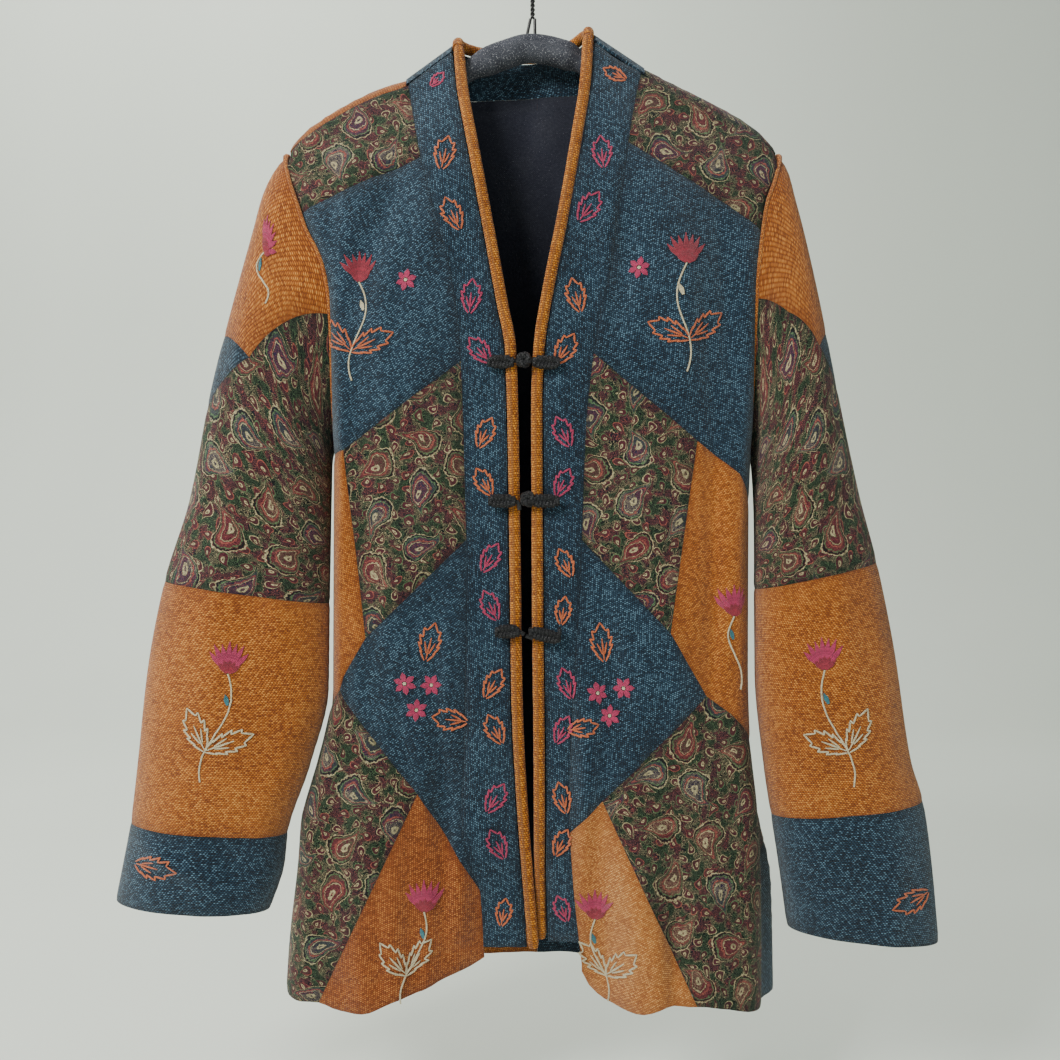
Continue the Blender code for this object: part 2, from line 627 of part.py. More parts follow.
def build_front(key):
    """The seven patches and the band of one front."""
    panel = FRONTS[key]
    s = panel.sign
    hem = HEM_L if key == "l" else HEM_R
    band = lambda d: smooth(panel.band, d)
    neck_x = -104.5 if key == "l" else 92.0
    tip_x = s * 204.0
    cut = FRONT_CUTS[key]
    outer = panel.outer
    inner = lambda d: smooth(panel.edge, d) + s * (PIPING / 2 + 2 * SEAM_GAP)
    chest, waist, hip = cut["chest"], cut["waist"], cut["hip"]
    gore, low, foot = cut["gore"], cut["low"], cut["foot"]
    at_band = lambda d: (band(d), d)
    at_side = lambda d: (outer(d), d)
    hem_point = lambda x: (x, smooth(hem, x))
    hem_end = hem_point(s * 201.0 if key == "l" else 186.0)
    side_foot = (outer(hem_end[1]), hem_end[1])
    neck_drop = roll_drop(neck_x, SEAM_ANGLE)
    tip = (outer(TIP + 6), TIP + 6)
    outlines = {
        "shoulder": (
            along_curve(band, neck_drop, chest[0]) + line(at_band(chest[0]), at_side(chest[1]))
            + along_curve(outer, chest[1], tip[1]) + along_roll(SEAM_ANGLE, tip_x, neck_x), "paisley"),
        "chest": (
            along_curve(band, chest[0], waist[0]) + line(at_band(waist[0]), waist[1])
            + line(waist[1], at_side(waist[2])) + along_curve(outer, waist[2], chest[1])
            + line(at_side(chest[1]), at_band(chest[0])), "blue"),
        "waist": (
            along_curve(band, waist[0], hip[0]) + line(at_band(hip[0]), hip[1])
            + line(hip[1], waist[1]) + line(waist[1], at_band(waist[0])), "paisley"),
        "gore": (
            line(at_side(waist[2]), waist[1]) + line(waist[1], hip[1]) + line(hip[1], gore[0])
            + line(gore[0], at_side(gore[1])) + along_curve(outer, gore[1], waist[2]), "rust"),
        "diamond": (
            along_curve(band, hip[0], low[0]) + line(at_band(low[0]), low[1])
            + line(low[1], gore[0]) + line(gore[0], hip[1]) + line(hip[1], at_band(hip[0])), "blue"),
        "skirt": (
            line(at_side(gore[1]), gore[0]) + line(gore[0], low[1]) + line(low[1], hem_point(foot))
            + along_hem(hem, foot, panel.corner(hem_end[1]))
            + line(hem_point(panel.corner(hem_end[1])), side_foot)
            + along_curve(outer, side_foot[1], gore[1]), "paisley"),
        "hem": (
            along_curve(band, low[0], smooth(hem, band(845))) + along_hem(hem, band(845), foot)
            + line(hem_point(foot), low[1]) + line(low[1], at_band(low[0])), "rust"),
    }
    for name, (outline, cloth) in outlines.items():
        patch(f"front_{key}_{name}", panel, outline, cloth)
    crown_x = smooth(panel.edge, 85) + s * (PIPING / 2 + 2 * SEAM_GAP)
    crown = (crown_x, roll_drop(crown_x, SEAM_ANGLE))
    foot_drop = cut["band"]
    strip = (
        along_curve(inner, foot_drop, crown[1]) + line(crown, (neck_x, neck_drop), 11)
        + along_curve(band, neck_drop, foot_drop)
        + line((band(foot_drop), foot_drop), (inner(foot_drop), foot_drop), 14)
    )
    patch(f"band_{key}", panel, strip, "blue", BAND_STEP)


# Seams of each front as flat points: a number is a drop on the band's seam or the side.
FRONT_CUTS = {
    "l": {"chest": (188.6, 232.0), "waist": (354.8, (-152, 426), 431.0), "hip": (498.0, (-133.5, 576.3)),
          "gore": ((-158, 618), 640.0), "low": (783.0, (-92.6, 701.6)), "foot": -171.3, "band": 830.4},
    "r": {"chest": (175.8, 247.0), "waist": (348.4, (131.1, 418.9), 478.0), "hip": (498.0, (109.4, 572.2)),
          "gore": ((138.8, 623.2), 668.0), "low": (734.1, (55.6, 707.0)), "foot": 130.1, "band": 826.3},
}


BACK_STOPS = {"l": (262, 431, 640, 745), "r": (280, 470, 668, 760)}


def build_back():
    """Ten patches of the back and the lining behind its face."""
    panel = BACK_PANEL
    seam_x = 4.0
    left = lambda d: panel.outer(-1, d)
    right = lambda d: panel.outer(1, d)
    neck = neck_outer_line()
    centre = (seam_x, neck_drop_at(neck, seam_x))
    centres = (236, 415, 580, 712)
    cloths = {"l": ("rust", "blue", "paisley", "blue", "rust"),
              "r": ("paisley", "rust", "blue", "paisley", "blue")}
    names = ("shoulder", "upper", "waist", "hip", "hem")
    flat_patches = []
    for key, outer in (("l", left), ("r", right)):
        sign = -1 if key == "l" else 1
        side_stops = BACK_STOPS[key]
        hem_x = -201.0 if key == "l" else 186.0
        foot_drop = smooth(HEM_L if key == "l" else HEM_R, hem_x)
        foot = (outer(foot_drop), foot_drop)
        hem_corner = (panel.corner(sign, foot_drop), smooth(HEM_BACK, panel.corner(sign, foot_drop)))
        half = [p for p in neck if sign * (p[0] - seam_x) > 3]
        if sign > 0:
            half.reverse()
        ends = half[0][0]
        top = (
            line(centre, (seam_x, centres[0]))
            + line((seam_x, centres[0]), (outer(side_stops[0]), side_stops[0]))
            + along_curve(outer, side_stops[0], TIP + 6)
            + along_roll(-SEAM_ANGLE, sign * 204.0, ends) + half)
        outlines = [top]
        lows, low_side = list(centres) + [None], list(side_stops) + [None]
        for i in range(4):
            upper = line((outer(low_side[i]), low_side[i]), (seam_x, lows[i]))
            if lows[i + 1] is not None:
                lower = line((seam_x, lows[i]), (seam_x, lows[i + 1]))
                lower += line((seam_x, lows[i + 1]), (outer(low_side[i + 1]), low_side[i + 1]))
                lower += along_curve(outer, low_side[i + 1], low_side[i])
            else:
                lower = line((seam_x, lows[i]), (seam_x, smooth(HEM_BACK, seam_x)))
                lower += along_hem(HEM_BACK, seam_x, hem_corner[0]) + line(hem_corner, foot)
                lower += along_curve(outer, foot_drop, low_side[i])
            outlines.append(upper + lower)
        for name, outline, cloth in zip(names, outlines, cloths[key]):
            flat_patches.append(patch(f"back_{key}_{name}", panel, outline, cloth))
    build_lining(flat_patches)


def build_lining(flat_patches):
    """The back's lining: the back's own points moved 0.3 mm inside its wall, trimmed all round."""
    number, points, faces = {}, [], []
    for flat_points, flat_faces in flat_patches:
        here = []
        for spot in flat_points:
            key = (round(spot[0], 2), round(spot[1], 2))
            if key not in number:
                number[key] = len(points)
                points.append(spot)
            here.append(number[key])
        faces += [[here[i] for i in face] for face in flat_faces]
    inward = -(CLOTH / 2 + SEAM_GAP + LINING / 2)
    sheet = walled("lining_back", BACK_PANEL.point, points, faces, "navy", LINING, inward)
    body = bmesh.new()
    body.from_mesh(sheet.data)
    for (x, drop), (along_x, along_drop) in LINING_TRIMS:
        cut_away = Vector((-along_drop, 0, -along_x)).normalized()
        found = bmesh.ops.bisect_plane(
            body, geom=body.verts[:] + body.edges[:] + body.faces[:],
            plane_co=Vector((x, 0, -drop)) * MM, plane_no=cut_away, clear_inner=True)
        cut = [e for e in found["geom_cut"] if isinstance(e, bmesh.types.BMEdge)]
        bmesh.ops.holes_fill(body, edges=cut, sides=0)
    bmesh.ops.triangulate(body, faces=[f for f in body.faces if len(f.verts) > 3])
    body.to_mesh(sheet.data)
    body.free()


# Lines that trim the lining, each a place and a direction with the kept side on its right.
LINING_TRIMS = (
    ((-185, 200), (100, -70)), ((0, 130), (1, 0)), ((185, 200), (100, 70)),
    ((0, 838), (-1, 0)), ((-193, 700), (-12, -100)), ((179, 700), (0, 1)),
)


def neck_outer_line():
    """The neck band's seam to the back, as flat points of the back from left to right."""
    points = []
    for row in NECK:
        if row.out_drop > ROLL_DROP - 90:
            angle = -math.radians(row.out_drop - ROLL_DROP)
            points.append((row.out_x, roll_drop(row.out_x, angle)))
        else:
            points.append((row.out_x, row.out_drop))
    return points


def neck_drop_at(neck, x):
    """Drop of the neck seam at a place across."""
    below = [p for p in neck if p[0] <= x][-1]
    above = [p for p in neck if p[0] > x][0]
    return below[1] + (above[1] - below[1]) * (x - below[0]) / (above[0] - below[0])


def neck_place(flat, along):
    """Place on the band round the neck: flat runs across it from 0 to 1, along counts sections."""
    seam = neck_outer_line()
    rows = list(enumerate(NECK))
    inner = Vector((
        smooth([(i, r.in_x) for i, r in rows], along), smooth([(i, r.in_y) for i, r in rows], along),
        -smooth([(i, r.in_drop) for i, r in rows], along)))
    out_x = smooth([(i, p[0]) for i, p in enumerate(seam)], along)
    out_drop = smooth([(i, p[1]) for i, p in enumerate(seam)], along)
    outer = BACK_PANEL.point(out_x, out_drop)
    return inner + (outer - inner) * flat


def build_neck():
    """The band round the back of the neck, with a section for each row of its table."""
    across = (0.0, 0.5, 1.0)
    stops = [0.08] + list(range(1, len(NECK) - 1)) + [len(NECK) - 1.08]
    places, normals = [], []
    for along in stops:
        inner, outer = neck_place(0, along), neck_place(1, along)
        width = (outer - inner).length
        run = (neck_place(0, along + 0.2) - neck_place(0, along - 0.2)).normalized()
        slant = max(0.5, run.cross((outer - inner) / width).length)
        start = (PIPING / 2 + 2 * SEAM_GAP) / slant
        for part in across:
            part = (start + part * (width - start - 2.5 * SEAM_GAP)) / width
            places.append(neck_place(part, along))
            across_way = neck_place(part + 0.05, along) - neck_place(part - 0.05, along)
            down = neck_place(part, along + 0.1) - neck_place(part, along - 0.1)
            normals.append(across_way.cross(down).normalized())
    wide, total = len(across), len(places)
    faces = [
        (r * wide + c, r * wide + c + 1, (r + 1) * wide + c + 1, (r + 1) * wide + c)
        for r in range(len(stops) - 1) for c in range(wide - 1)
    ]
    verts = [p + n * CLOTH / 2 for p, n in zip(places, normals)]
    verts += [p - n * CLOTH / 2 for p, n in zip(places, normals)]
    sides = {(a, b) for f in faces for a, b in zip(f, f[1:] + f[:1])}
    walls = [(a, b, b + total, a + total) for a, b in sides if (b, a) not in sides]
    shell = faces + [tuple(v + total for v in reversed(f)) for f in faces] + walls
    make_object("neck_band", verts, shell, "blue")


def tube(name, route, radius, cloth, sides=10, flat=1.0, ends=(None, None)):
    """Closed tube along points, with a radius for each point or one for all."""
    radii = radius if isinstance(radius, (list, tuple)) else [radius] * len(route)
    verts, faces = [], []
    lead = None
    for i, spot in enumerate(route):
        ahead = route[min(i + 1, len(route) - 1)] - route[max(i - 1, 0)]
        ahead.normalize()
        if i == 0 and ends[0]:
            ahead = ends[0]
        if i == len(route) - 1 and ends[1]:
            ahead = ends[1]
        if lead is None:
            lead = Vector((0, -1, 0)) if abs(ahead.y) < 0.9 else Vector((1, 0, 0))
        lead = (lead - ahead * lead.dot(ahead)).normalized()
        side = ahead.cross(lead)
        for k in range(sides):
            angle = 2 * math.pi * (k + 0.5) / sides
            out = lead * math.cos(angle) * flat + side * math.sin(angle)
            verts.append(spot + out * radii[i])
    for i in range(len(route) - 1):
        for k in range(sides):
            a, b = i * sides + k, i * sides + (k + 1) % sides
            faces.append((a, b, b + sides, a + sides))
    faces.append(tuple(reversed(range(sides))))
    faces.append(tuple((len(route) - 1) * sides + k for k in range(sides)))
    return make_object(name, verts, faces, cloth)


def piping_route(key):
    """Middle line of one front's piping, from its foot to the shoulder seam."""
    panel = FRONTS[key]
    foot = {"l": 830.0, "r": 824.0}[key]
    crossing = {"l": 4.2, "r": -4.2}[key]
    top = roll_drop(smooth(panel.edge, 85), SEAM_ANGLE)
    count = 36
    route = []
    for i in range(count + 1):
        drop = foot + (top - foot) * i / count
        place = panel.point(smooth(panel.edge, drop), drop)
        place.y -= crossing * min(1.0, max(0.0, (drop - 720) / 80))
        route.append(place)
    return route


def piping_runs(key, route, join):
    """One front's piping in three runs with square-cut ends, so that each bends only a little."""
    start, begin = 0, None
    for part, drop in PIPING_RUNS:
        stop = sum(1 for spot in route if -spot.z > drop) - 1
        run = route[start:stop + 1]
        end = join
        if stop < len(route) - 1:
            end = (route[stop + 1] - route[stop - 1]).normalized()
        if begin:
            run[0] = run[0] + begin * SEAM_GAP
        tube(f"piping_{key}_{part}", run, PIPING / 2, "mustard", 8, 1.0, (begin, end))
        start, begin = stop, end


def build_piping():
    """The piping of both fronts and of the back of the neck, cut square where they meet."""
    join = Vector((0, 0.43, 0.9)).normalized()
    left, right = piping_route("l"), piping_route("r")
    piping_runs("l", left, join)
    piping_runs("r", right, join)
    rows = len(NECK) - 1
    count = 28
    route = [neck_place(0.0, rows * i / count) for i in range(count + 1)]
    route[0] = left[-1] + join * SEAM_GAP * 1.5
    route[-1] = right[-1] + join * SEAM_GAP * 1.5
    tube("piping_neck", route, PIPING / 2, "mustard", 8, 1.0, (join, -join))


# Seams of each sleeve as flat points: how far round from the outer line by the front, and down.
SLEEVE_CUTS = {
    "l": {"cap": ((81, 0), (52, 88)), "behind": ((-52, 95), (-81, 0)),
          "gusset": ((35, 113), (17, 135), (-10, 148), (-20, 98.7))},
    "r": {"cap": ((76, 0), (62, 43), (38, 94)), "behind": ((-38, 94), (-62, 43), (-76, 0)),
          "gusset": ((20, 120), (0, 140), (-8, 137), (-15, 98.2))},
}
CAP_FOOT = (0, 101)
CUT_TOP = 0.3
RING_STEP = 18.75
RING_ROW = 27.0


def along_ring(start, end, down):
    """Points round a sleeve between two flat places, at the same columns in every patch."""
    stops = [RING_STEP * i for i in range(-8, 9)]
    between = [f for f in stops if min(start, end) + 4 < f < max(start, end) - 4]
    if end < start:
        between.reverse()
    return [(f, down) for f in [start] + between]


def along_cut(places, step=LINE_STEP):
    """Points along a bent seam through several flat places, without the last."""
    points = []
    for start, end in zip(places, places[1:]):
        points += line(start, end, step)
    return points


def build_sleeve(key):
    """The patches of one sleeve, each open along the seam under the arm."""
    sleeve, cut = SLEEVES[key], SLEEVE_CUTS[key]
    half = sleeve.ROUND / 2
    low, cuff, end = sleeve.lengths[7], sleeve.lengths[10], sleeve.lengths[-1]
    front = [(f, max(d, CUT_TOP)) for f, d in cut["cap"]]
    behind = [(f, max(d, CUT_TOP)) for f, d in cut["behind"]]
    gusset = list(cut["gusset"])
    seam = [front[-1], CAP_FOOT, gusset[-1]]
    outlines = {
        "cap": (
            along_ring(behind[-1][0], front[0][0], CUT_TOP) + along_cut(front + seam[1:])
            + along_cut([seam[-1]] + behind), "rust"),
        "gusset": (along_cut(seam) + along_cut(gusset[::-1] + [front[-1]]), "blue"),
        "upper": (
            along_ring(-half, behind[-1][0], CUT_TOP) + along_cut(behind[::-1] + [gusset[-1]])
            + along_cut(gusset[::-1] + front[::-1]) + along_ring(front[0][0], half, CUT_TOP)
            + line((half, CUT_TOP), (half, low), RING_ROW) + along_ring(half, -half, low)
            + line((-half, low), (-half, CUT_TOP), RING_ROW), "paisley"),
        "lower": (ring_outline(half, low, cuff), "rust"),
        "cuff": (ring_outline(half, cuff, end), "blue"),
    }
    for name, (outline, cloth) in outlines.items():
        points, faces = triangles(outline, lattice(outline, RING_STEP, RING_ROW))
        trimmed = inset(outline, SEAM_CUT) + points[len(outline):]
        walled(f"sleeve_{key}_{name}", sleeve.point, trimmed, faces, cloth)


def ring_outline(half, top, bottom):
    """Outline of a stretch of sleeve that goes all the way round."""
    return (
        along_ring(-half, half, top) + line((half, top), (half, bottom), RING_ROW)
        + along_ring(half, -half, bottom) + line((-half, bottom), (-half, top), RING_ROW))


# Frog closures: drop of the bar, then for each half its route as (x, drop rise) with radii.
FrogPoint = namedtuple("FrogPoint", "x rise radius")
FROGS = {
    "frog_1_l": (356.5, (FrogPoint(-35, 0, 3.4), FrogPoint(-31, 0, 5.2), FrogPoint(-20, 0, 5.6),
                         FrogPoint(-15.5, -1, 3.6), FrogPoint(-13.6, -1, 1.6))),
    "frog_1_r": (356.5, (FrogPoint(-13.0, -2, 2.0), FrogPoint(-11.5, -2, 5.0), FrogPoint(-7.0, -2, 6.2),
                         FrogPoint(-2.5, -1, 4.6), FrogPoint(0, 0, 3.2), FrogPoint(4, 1, 5.2),
                         FrogPoint(17, 1, 5.4), FrogPoint(21, 1, 3.4))),
    "frog_2_l": (467.0, (FrogPoint(-34.5, 0, 3.4), FrogPoint(-30, 0, 5.0), FrogPoint(-16, 0, 5.2),
                         FrogPoint(-12.5, 0, 3.6), FrogPoint(-11.0, 3, 2.4), FrogPoint(-10.5, 7, 2.2))),
    "frog_2_r": (467.0, (FrogPoint(-6.5, 0, 3.4), FrogPoint(-4.0, 0, 5.4), FrogPoint(0, 0, 4.2),
                         FrogPoint(4, 0, 5.2), FrogPoint(16, 0, 5.4), FrogPoint(20, 0, 3.4))),
    "frog_3_l": (571.0, (FrogPoint(-29, -1, 3.2), FrogPoint(-25, -1, 4.4), FrogPoint(-14, 0, 4.6),
                         FrogPoint(-10, 0, 3.0), FrogPoint(-6.5, 2, 2.0))),
    "frog_3_r": (571.0, (FrogPoint(-5.8, 3, 2.4), FrogPoint(-3.5, 4, 4.6), FrogPoint(8, 5, 5.0),
                         FrogPoint(18, 5, 4.6), FrogPoint(21.5, 5, 3.0))),
}


def build_frogs():
    """Each half of each closure, as a knotted roll of cord lying on the band and its piping."""
    for name, (drop, points) in FROGS.items():
        panel = FRONTS[name[-1]]
        base = table(panel.rows, "edge", drop)
        rest = base + PIPING / 2 + SEAM_GAP
        route, radii = [], []
        count = (len(points) - 1) * 3
        rows = list(enumerate(points))
        for i in range(count + 1):
            at = i / 3
            x = smooth([(k, p.x) for k, p in rows], at)
            rise = smooth([(k, p.rise) for k, p in rows], at)
            radius = smooth([(k, p.radius) for k, p in rows], at)
            route.append(Vector((x, -rest - FROG_SEAT, -(drop + rise))))
            radii.append(radius)
        tube(name, route, radii, "cord", 8, 0.6)


def foam_route():
    """Middle line of the padded hanger."""
    places = (
        (-183, 179), (-152, 154), (-104, 133), (-70, 117), (-49, 105), (-26, 95), (-3, 88.5),
        (20, 92), (38, 99.5), (62, 113), (92, 127), (141, 152), (184, 181))
    count = 36
    rows_x = [(i, p[0]) for i, p in enumerate(places)]
    rows_d = [(i, p[1]) for i, p in enumerate(places)]
    top = len(places) - 1
    return [
        Vector((smooth(rows_x, top * i / count), 0.0, -smooth(rows_d, top * i / count)))
        for i in range(count + 1)
    ]


def build_hanger():
    """The padded bar, the two wire legs and the twisted stem with its hook."""
    route = foam_route()
    pressed = ((-50, FOAM_PRESSED), (-36, FOAM_RADIUS), (27, FOAM_RADIUS), (38, FOAM_PRESSED))
    radii = [smooth(pressed, spot.x) for spot in route]
    radii[0] = radii[-1] = FOAM_PRESSED * 0.6
    tube("hanger_foam", route, radii, "foam", 14)
    split, join = 76.2, 64.0
    for key, x_low, x_top in (("l", -5.0, -2.0), ("r", 1.8, 1.6)):
        leg = [
            Vector((x_low + (x_top - x_low) * t, 0, -(split + (join - split) * t)))
            for t in (0, 0.35, 0.7, 1)
        ]
        tube(f"hanger_leg_{key}", leg, WIRE / 2, "wire", 8)
    stem_top, inner, wire = 46.0, 17.0, 1.6
    centre = Vector((0, 0, -inner))
    stem = [Vector((-0.2, 0, -(join - 0.4) + (join - stem_top) * i / 6)) for i in range(7)]
    bend = [Vector((2.0, 0, -42.0)), Vector((7.0, 0, -36.5)), Vector((12.6, 0, -31.0))]
    arc = []
    for i in range(19):
        angle = math.radians(-30 + 245 * i / 18)
        arc.append(centre + Vector((math.cos(angle), 0, math.sin(angle))) * (inner + wire))
    route = stem + bend + arc
    radii = [2.2] * 7 + [1.9] + [wire] * (len(route) - 8)
    tube("hanger_hook", route, radii, "wire", 8)


def clear_scene():
    """Remove whatever the file opens with."""
    for item in list(bpy.data.objects):
        bpy.data.objects.remove(item, do_unlink=True)


def main():
    """Build every piece of the coat and its hanger."""
    clear_scene()
    for key in ("l", "r"):
        build_front(key)
        build_sleeve(key)
    build_back()
    build_neck()
    build_piping()
    build_frogs()
    build_hanger()


main()
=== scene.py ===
"""Patchwork coat on a padded hanger: the visual model laid over its CAD frame.

Shapes are worked out in millimetres in the source's own flat coordinates. X runs to the viewer's
right, Y to the back, and drop is the distance below the inner top of the hook, the origin.
"""
from __future__ import annotations

import logging
import math
from collections.abc import Callable, Iterable, Sequence
from dataclasses import dataclass, field
from enum import Enum
from typing import NamedTuple

import bmesh
import bpy
import numpy as np
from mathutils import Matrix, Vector, noise
from mathutils.geometry import delaunay_2d_cdt

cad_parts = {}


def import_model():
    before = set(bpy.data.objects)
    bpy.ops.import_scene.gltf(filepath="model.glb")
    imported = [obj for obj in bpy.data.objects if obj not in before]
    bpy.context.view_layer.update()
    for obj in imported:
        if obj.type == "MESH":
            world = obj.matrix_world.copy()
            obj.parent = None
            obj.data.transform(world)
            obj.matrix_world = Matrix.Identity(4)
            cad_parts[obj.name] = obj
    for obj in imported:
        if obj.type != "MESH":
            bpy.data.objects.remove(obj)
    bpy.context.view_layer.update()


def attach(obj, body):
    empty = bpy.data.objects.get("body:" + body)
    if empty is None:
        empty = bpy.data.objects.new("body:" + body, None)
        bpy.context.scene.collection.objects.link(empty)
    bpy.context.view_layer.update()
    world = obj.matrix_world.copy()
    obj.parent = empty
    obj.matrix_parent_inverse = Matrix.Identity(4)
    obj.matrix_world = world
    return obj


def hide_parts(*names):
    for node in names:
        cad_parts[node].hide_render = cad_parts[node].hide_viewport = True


LOG = logging.getLogger("patchwork_coat")
Flat = tuple[float, float]
Rows = Sequence[tuple[float, float]]
Locate = Callable[[float, float], Flat]
Material = bpy.types.Material

MM = 0.001
CLOTH = 2.4
LINING = 1.0
LINING_GAP = 0.2
SEAM_GAP = 0.3
SEAM_CUT = 0.06
PIPING = 9.5
SHOULDER_DEEP = 13.5
SHOULDER_TALL = 16.5
SHOULDER_SETTLE = 60.0
BACK_SETTLE = 40.0
SEAM_ANGLE = math.radians(60)
GRID = 5.4
EDGE_STEP = 6.0
UNDERARM = 419.0
TIP = 180.0
TIP_X = 204.0
TIP_TURN = 185.0
CROWN = 85.0
BAND_FOOT = 845.0
SEAM_X = 4.0
HEM_STITCH = 21.0
HEM_DENT = 1.3
HEM_DENT_WIDE = 2.6
BODY_CRUMPLE = 3.6
ROLL_FADE = 60.0
TURN_FADE = 13.0
HEM_REACH = 800.0
SLEEVE_CRUMPLE = 2.2
SIDE_SEAM_DEEP = 7.0
ARMHOLE_DEEP = 28.0
SEAM_DIP_WIDE = 2.6
SEAM_SHADE_WIDE = 3.5
SHARP_EDGE = math.radians(50)
FULL_TURN = 6.283

# The shoulder line: place across, drop.
RIDGE = (
    (-206, 181), (-190, 161), (-161, 141), (-128, 124.5), (-105, 116.5), (-84, 100), (-62, 85),
    (-45, 68), (-25, 52), (-5, 46), (15, 50), (31, 60), (46, 76), (55, 84), (68, 96), (92, 107),
    (106, 115), (139, 131.5), (173, 150), (190, 163), (205, 181),
)
# Drop and place across of the lines that run down the fronts.
EDGE_L = ((80, -62), (125, -58), (173, -49.5), (240, -37), (306, -25), (345, -18), (420, -15.7),
          (546, -14), (627, -12.8), (667, -11.3), (710, -8.8), (750, -6), (830, 0.5))
EDGE_R = ((75, 46), (120, 43), (173, 35), (240, 23.4), (306, 10.5), (342, 5), (386, 3), (546, 3.6),
          (668, 4.9), (750, 5.3), (830, 6.8))
BAND_L = ((110, -104.5), (128, -102), (156, -97), (189, -90.5), (241, -77.2), (290, -65),
          (346, -58.4), (434, -55.2), (546, -53), (627, -54.6), (668, -55.6), (725, -58),
          (760, -52), (784, -43), (850, -39.5))
BAND_R = ((105, 91.8), (129, 85.5), (176, 77.2), (265, 64.3), (348, 48.8), (409, 42.4), (495, 39.2),
          (562, 36), (627, 32.1), (711, 29.2), (765, 31.8), (850, 40.3))
# The armhole, and below the underarm the side seam.
SIDE_L = ((150, -204.5), (180, -204), (200, -200), (224, -191.7), (247, -183.5), (262, -175.5),
          (277, -169.8), (300, -165.5), (345, -163.2), (419, -163), (620, -163), (650, -168.5),
          (681, -176.5), (711, -185.5), (727, -189.5), (760, -192), (829, -199.5), (880, -202.5))
SIDE_R = ((150, 204), (180, 203.5), (200, 199), (224, 190.5), (247, 186.5), (262, 184.5),
          (290, 181.5), (345, 179.2), (419, 178.5), (470, 176.5), (600, 175.8), (660, 177.5),
          (720, 183.5), (780, 186.5), (880, 187))
HEM_L = ((-206, 863), (-195, 867), (-172, 867.5), (-154, 872), (-135, 873), (-112, 864.5),
         (-88, 858), (-68, 850), (-50, 845), (-38, 838))
HEM_R = ((38, 846), (45, 861), (61, 871.5), (83, 874), (108, 867), (130, 867.6), (167, 875),
         (190, 883))
HEM_BACK = ((-206, 866), (-150, 862), (-60, 858), (0, 857), (60, 860), (130, 872), (190, 884),
            (212, 885))


FRONT_COLUMNS = ("edge", "seam", "middle", "corner", "turn")
BACK_COLUMNS = ("middle", "corner", "turn", "belly_l", "belly_r")
RING_COLUMNS = ("out_x", "out_drop", "in_x", "in_drop", "y", "deep")


class Fold(NamedTuple):
    """A soft fold from its top to its bottom: a plus height stands out, a minus one sinks in."""

    x0: float
    drop0: float
    x1: float
    drop1: float
    width: float
    height: float


def folds_of(*rows: Sequence[float]) -> tuple[Fold, ...]:
    """Folds from plain rows of their six numbers."""
    return tuple(Fold(*row) for row in rows)


class Side(Enum):
    """The viewer's left or right half of the coat."""

    LEFT = "l"
    RIGHT = "r"

    @property
    def sign(self) -> int:
        """Direction across from the middle of the coat."""
        return -1 if self is Side.LEFT else 1


# Drop, then how far in front of the hanger the edge, the band's seam, the middle and the corner
# lie, then the width of the turn to the side.
FRONT_L = (
    (150, 32, 38, 40, 34, 20), (290, 38, 40, 42, 34, 14),
    (430, 40, 41, 43, 38, 11), (560, 40, 41, 44, 39, 11),
    (640, 36, 38, 43, 40, 12), (720, 28, 32, 43, 40, 17),
    (790, 22, 24, 46, 38, 18), (870, 17, 18, 52, 38, 16),
)
FRONT_R = (
    (150, 32, 38, 40, 34, 18), (290, 38, 40, 42, 35, 14),
    (430, 40, 41, 43, 40, 12), (560, 40, 40, 44, 41, 14),
    (640, 37, 38, 44, 40, 18), (720, 30, 33, 46, 42, 20),
    (790, 23, 25, 50, 44, 22), (870, 16, 17, 54, 42, 24),
)
# Drop, depth of the middle and the corner behind the hanger, width of the turn, two bellies.
BACK = (
    (120, 27, 24, 18, 0, 0), (290, 33, 28, 18, 0, 0), (430, 37, 30, 18, 0, 0),
    (640, 40, 34, 20, 0, 0), (720, 42, 36, 22, 5, 9), (790, 43, 38, 22, 6, 21),
    (885, 45, 40, 22, 5, 23),
)
FOLDS_L = folds_of(
    (-112, 210, -150, 330, 14, -7), (-150, 240, -158, 420, 8, 5), (-78, 640, -66, 770, 12, -8),
    (-62, 740, -60, 830, 8, 7), (-130, 700, -140, 880, 16, 6), (-100, 760, -96, 880, 9, -6),
    (-120, 470, -112, 600, 14, 4),
)
FOLDS_R = folds_of(
    (84, 180, 70, 340, 11, -7), (150, 230, 165, 400, 12, -6), (120, 200, 118, 380, 14, 5),
    (146, 440, 142, 620, 9, -6), (44, 600, 40, 800, 8, 6), (78, 700, 84, 880, 16, 7),
    (112, 760, 112, 880, 9, -6), (96, 470, 100, 600, 14, 4),
)
FOLDS_BACK = folds_of(
    (-90, 330, -104, 880, 26, 5), (-35, 420, -40, 880, 22, -5), (30, 380, 34, 880, 24, 5),
    (92, 420, 104, 880, 24, -5), (140, 560, 150, 880, 20, 4), (-140, 560, -150, 880, 18, -4),
)
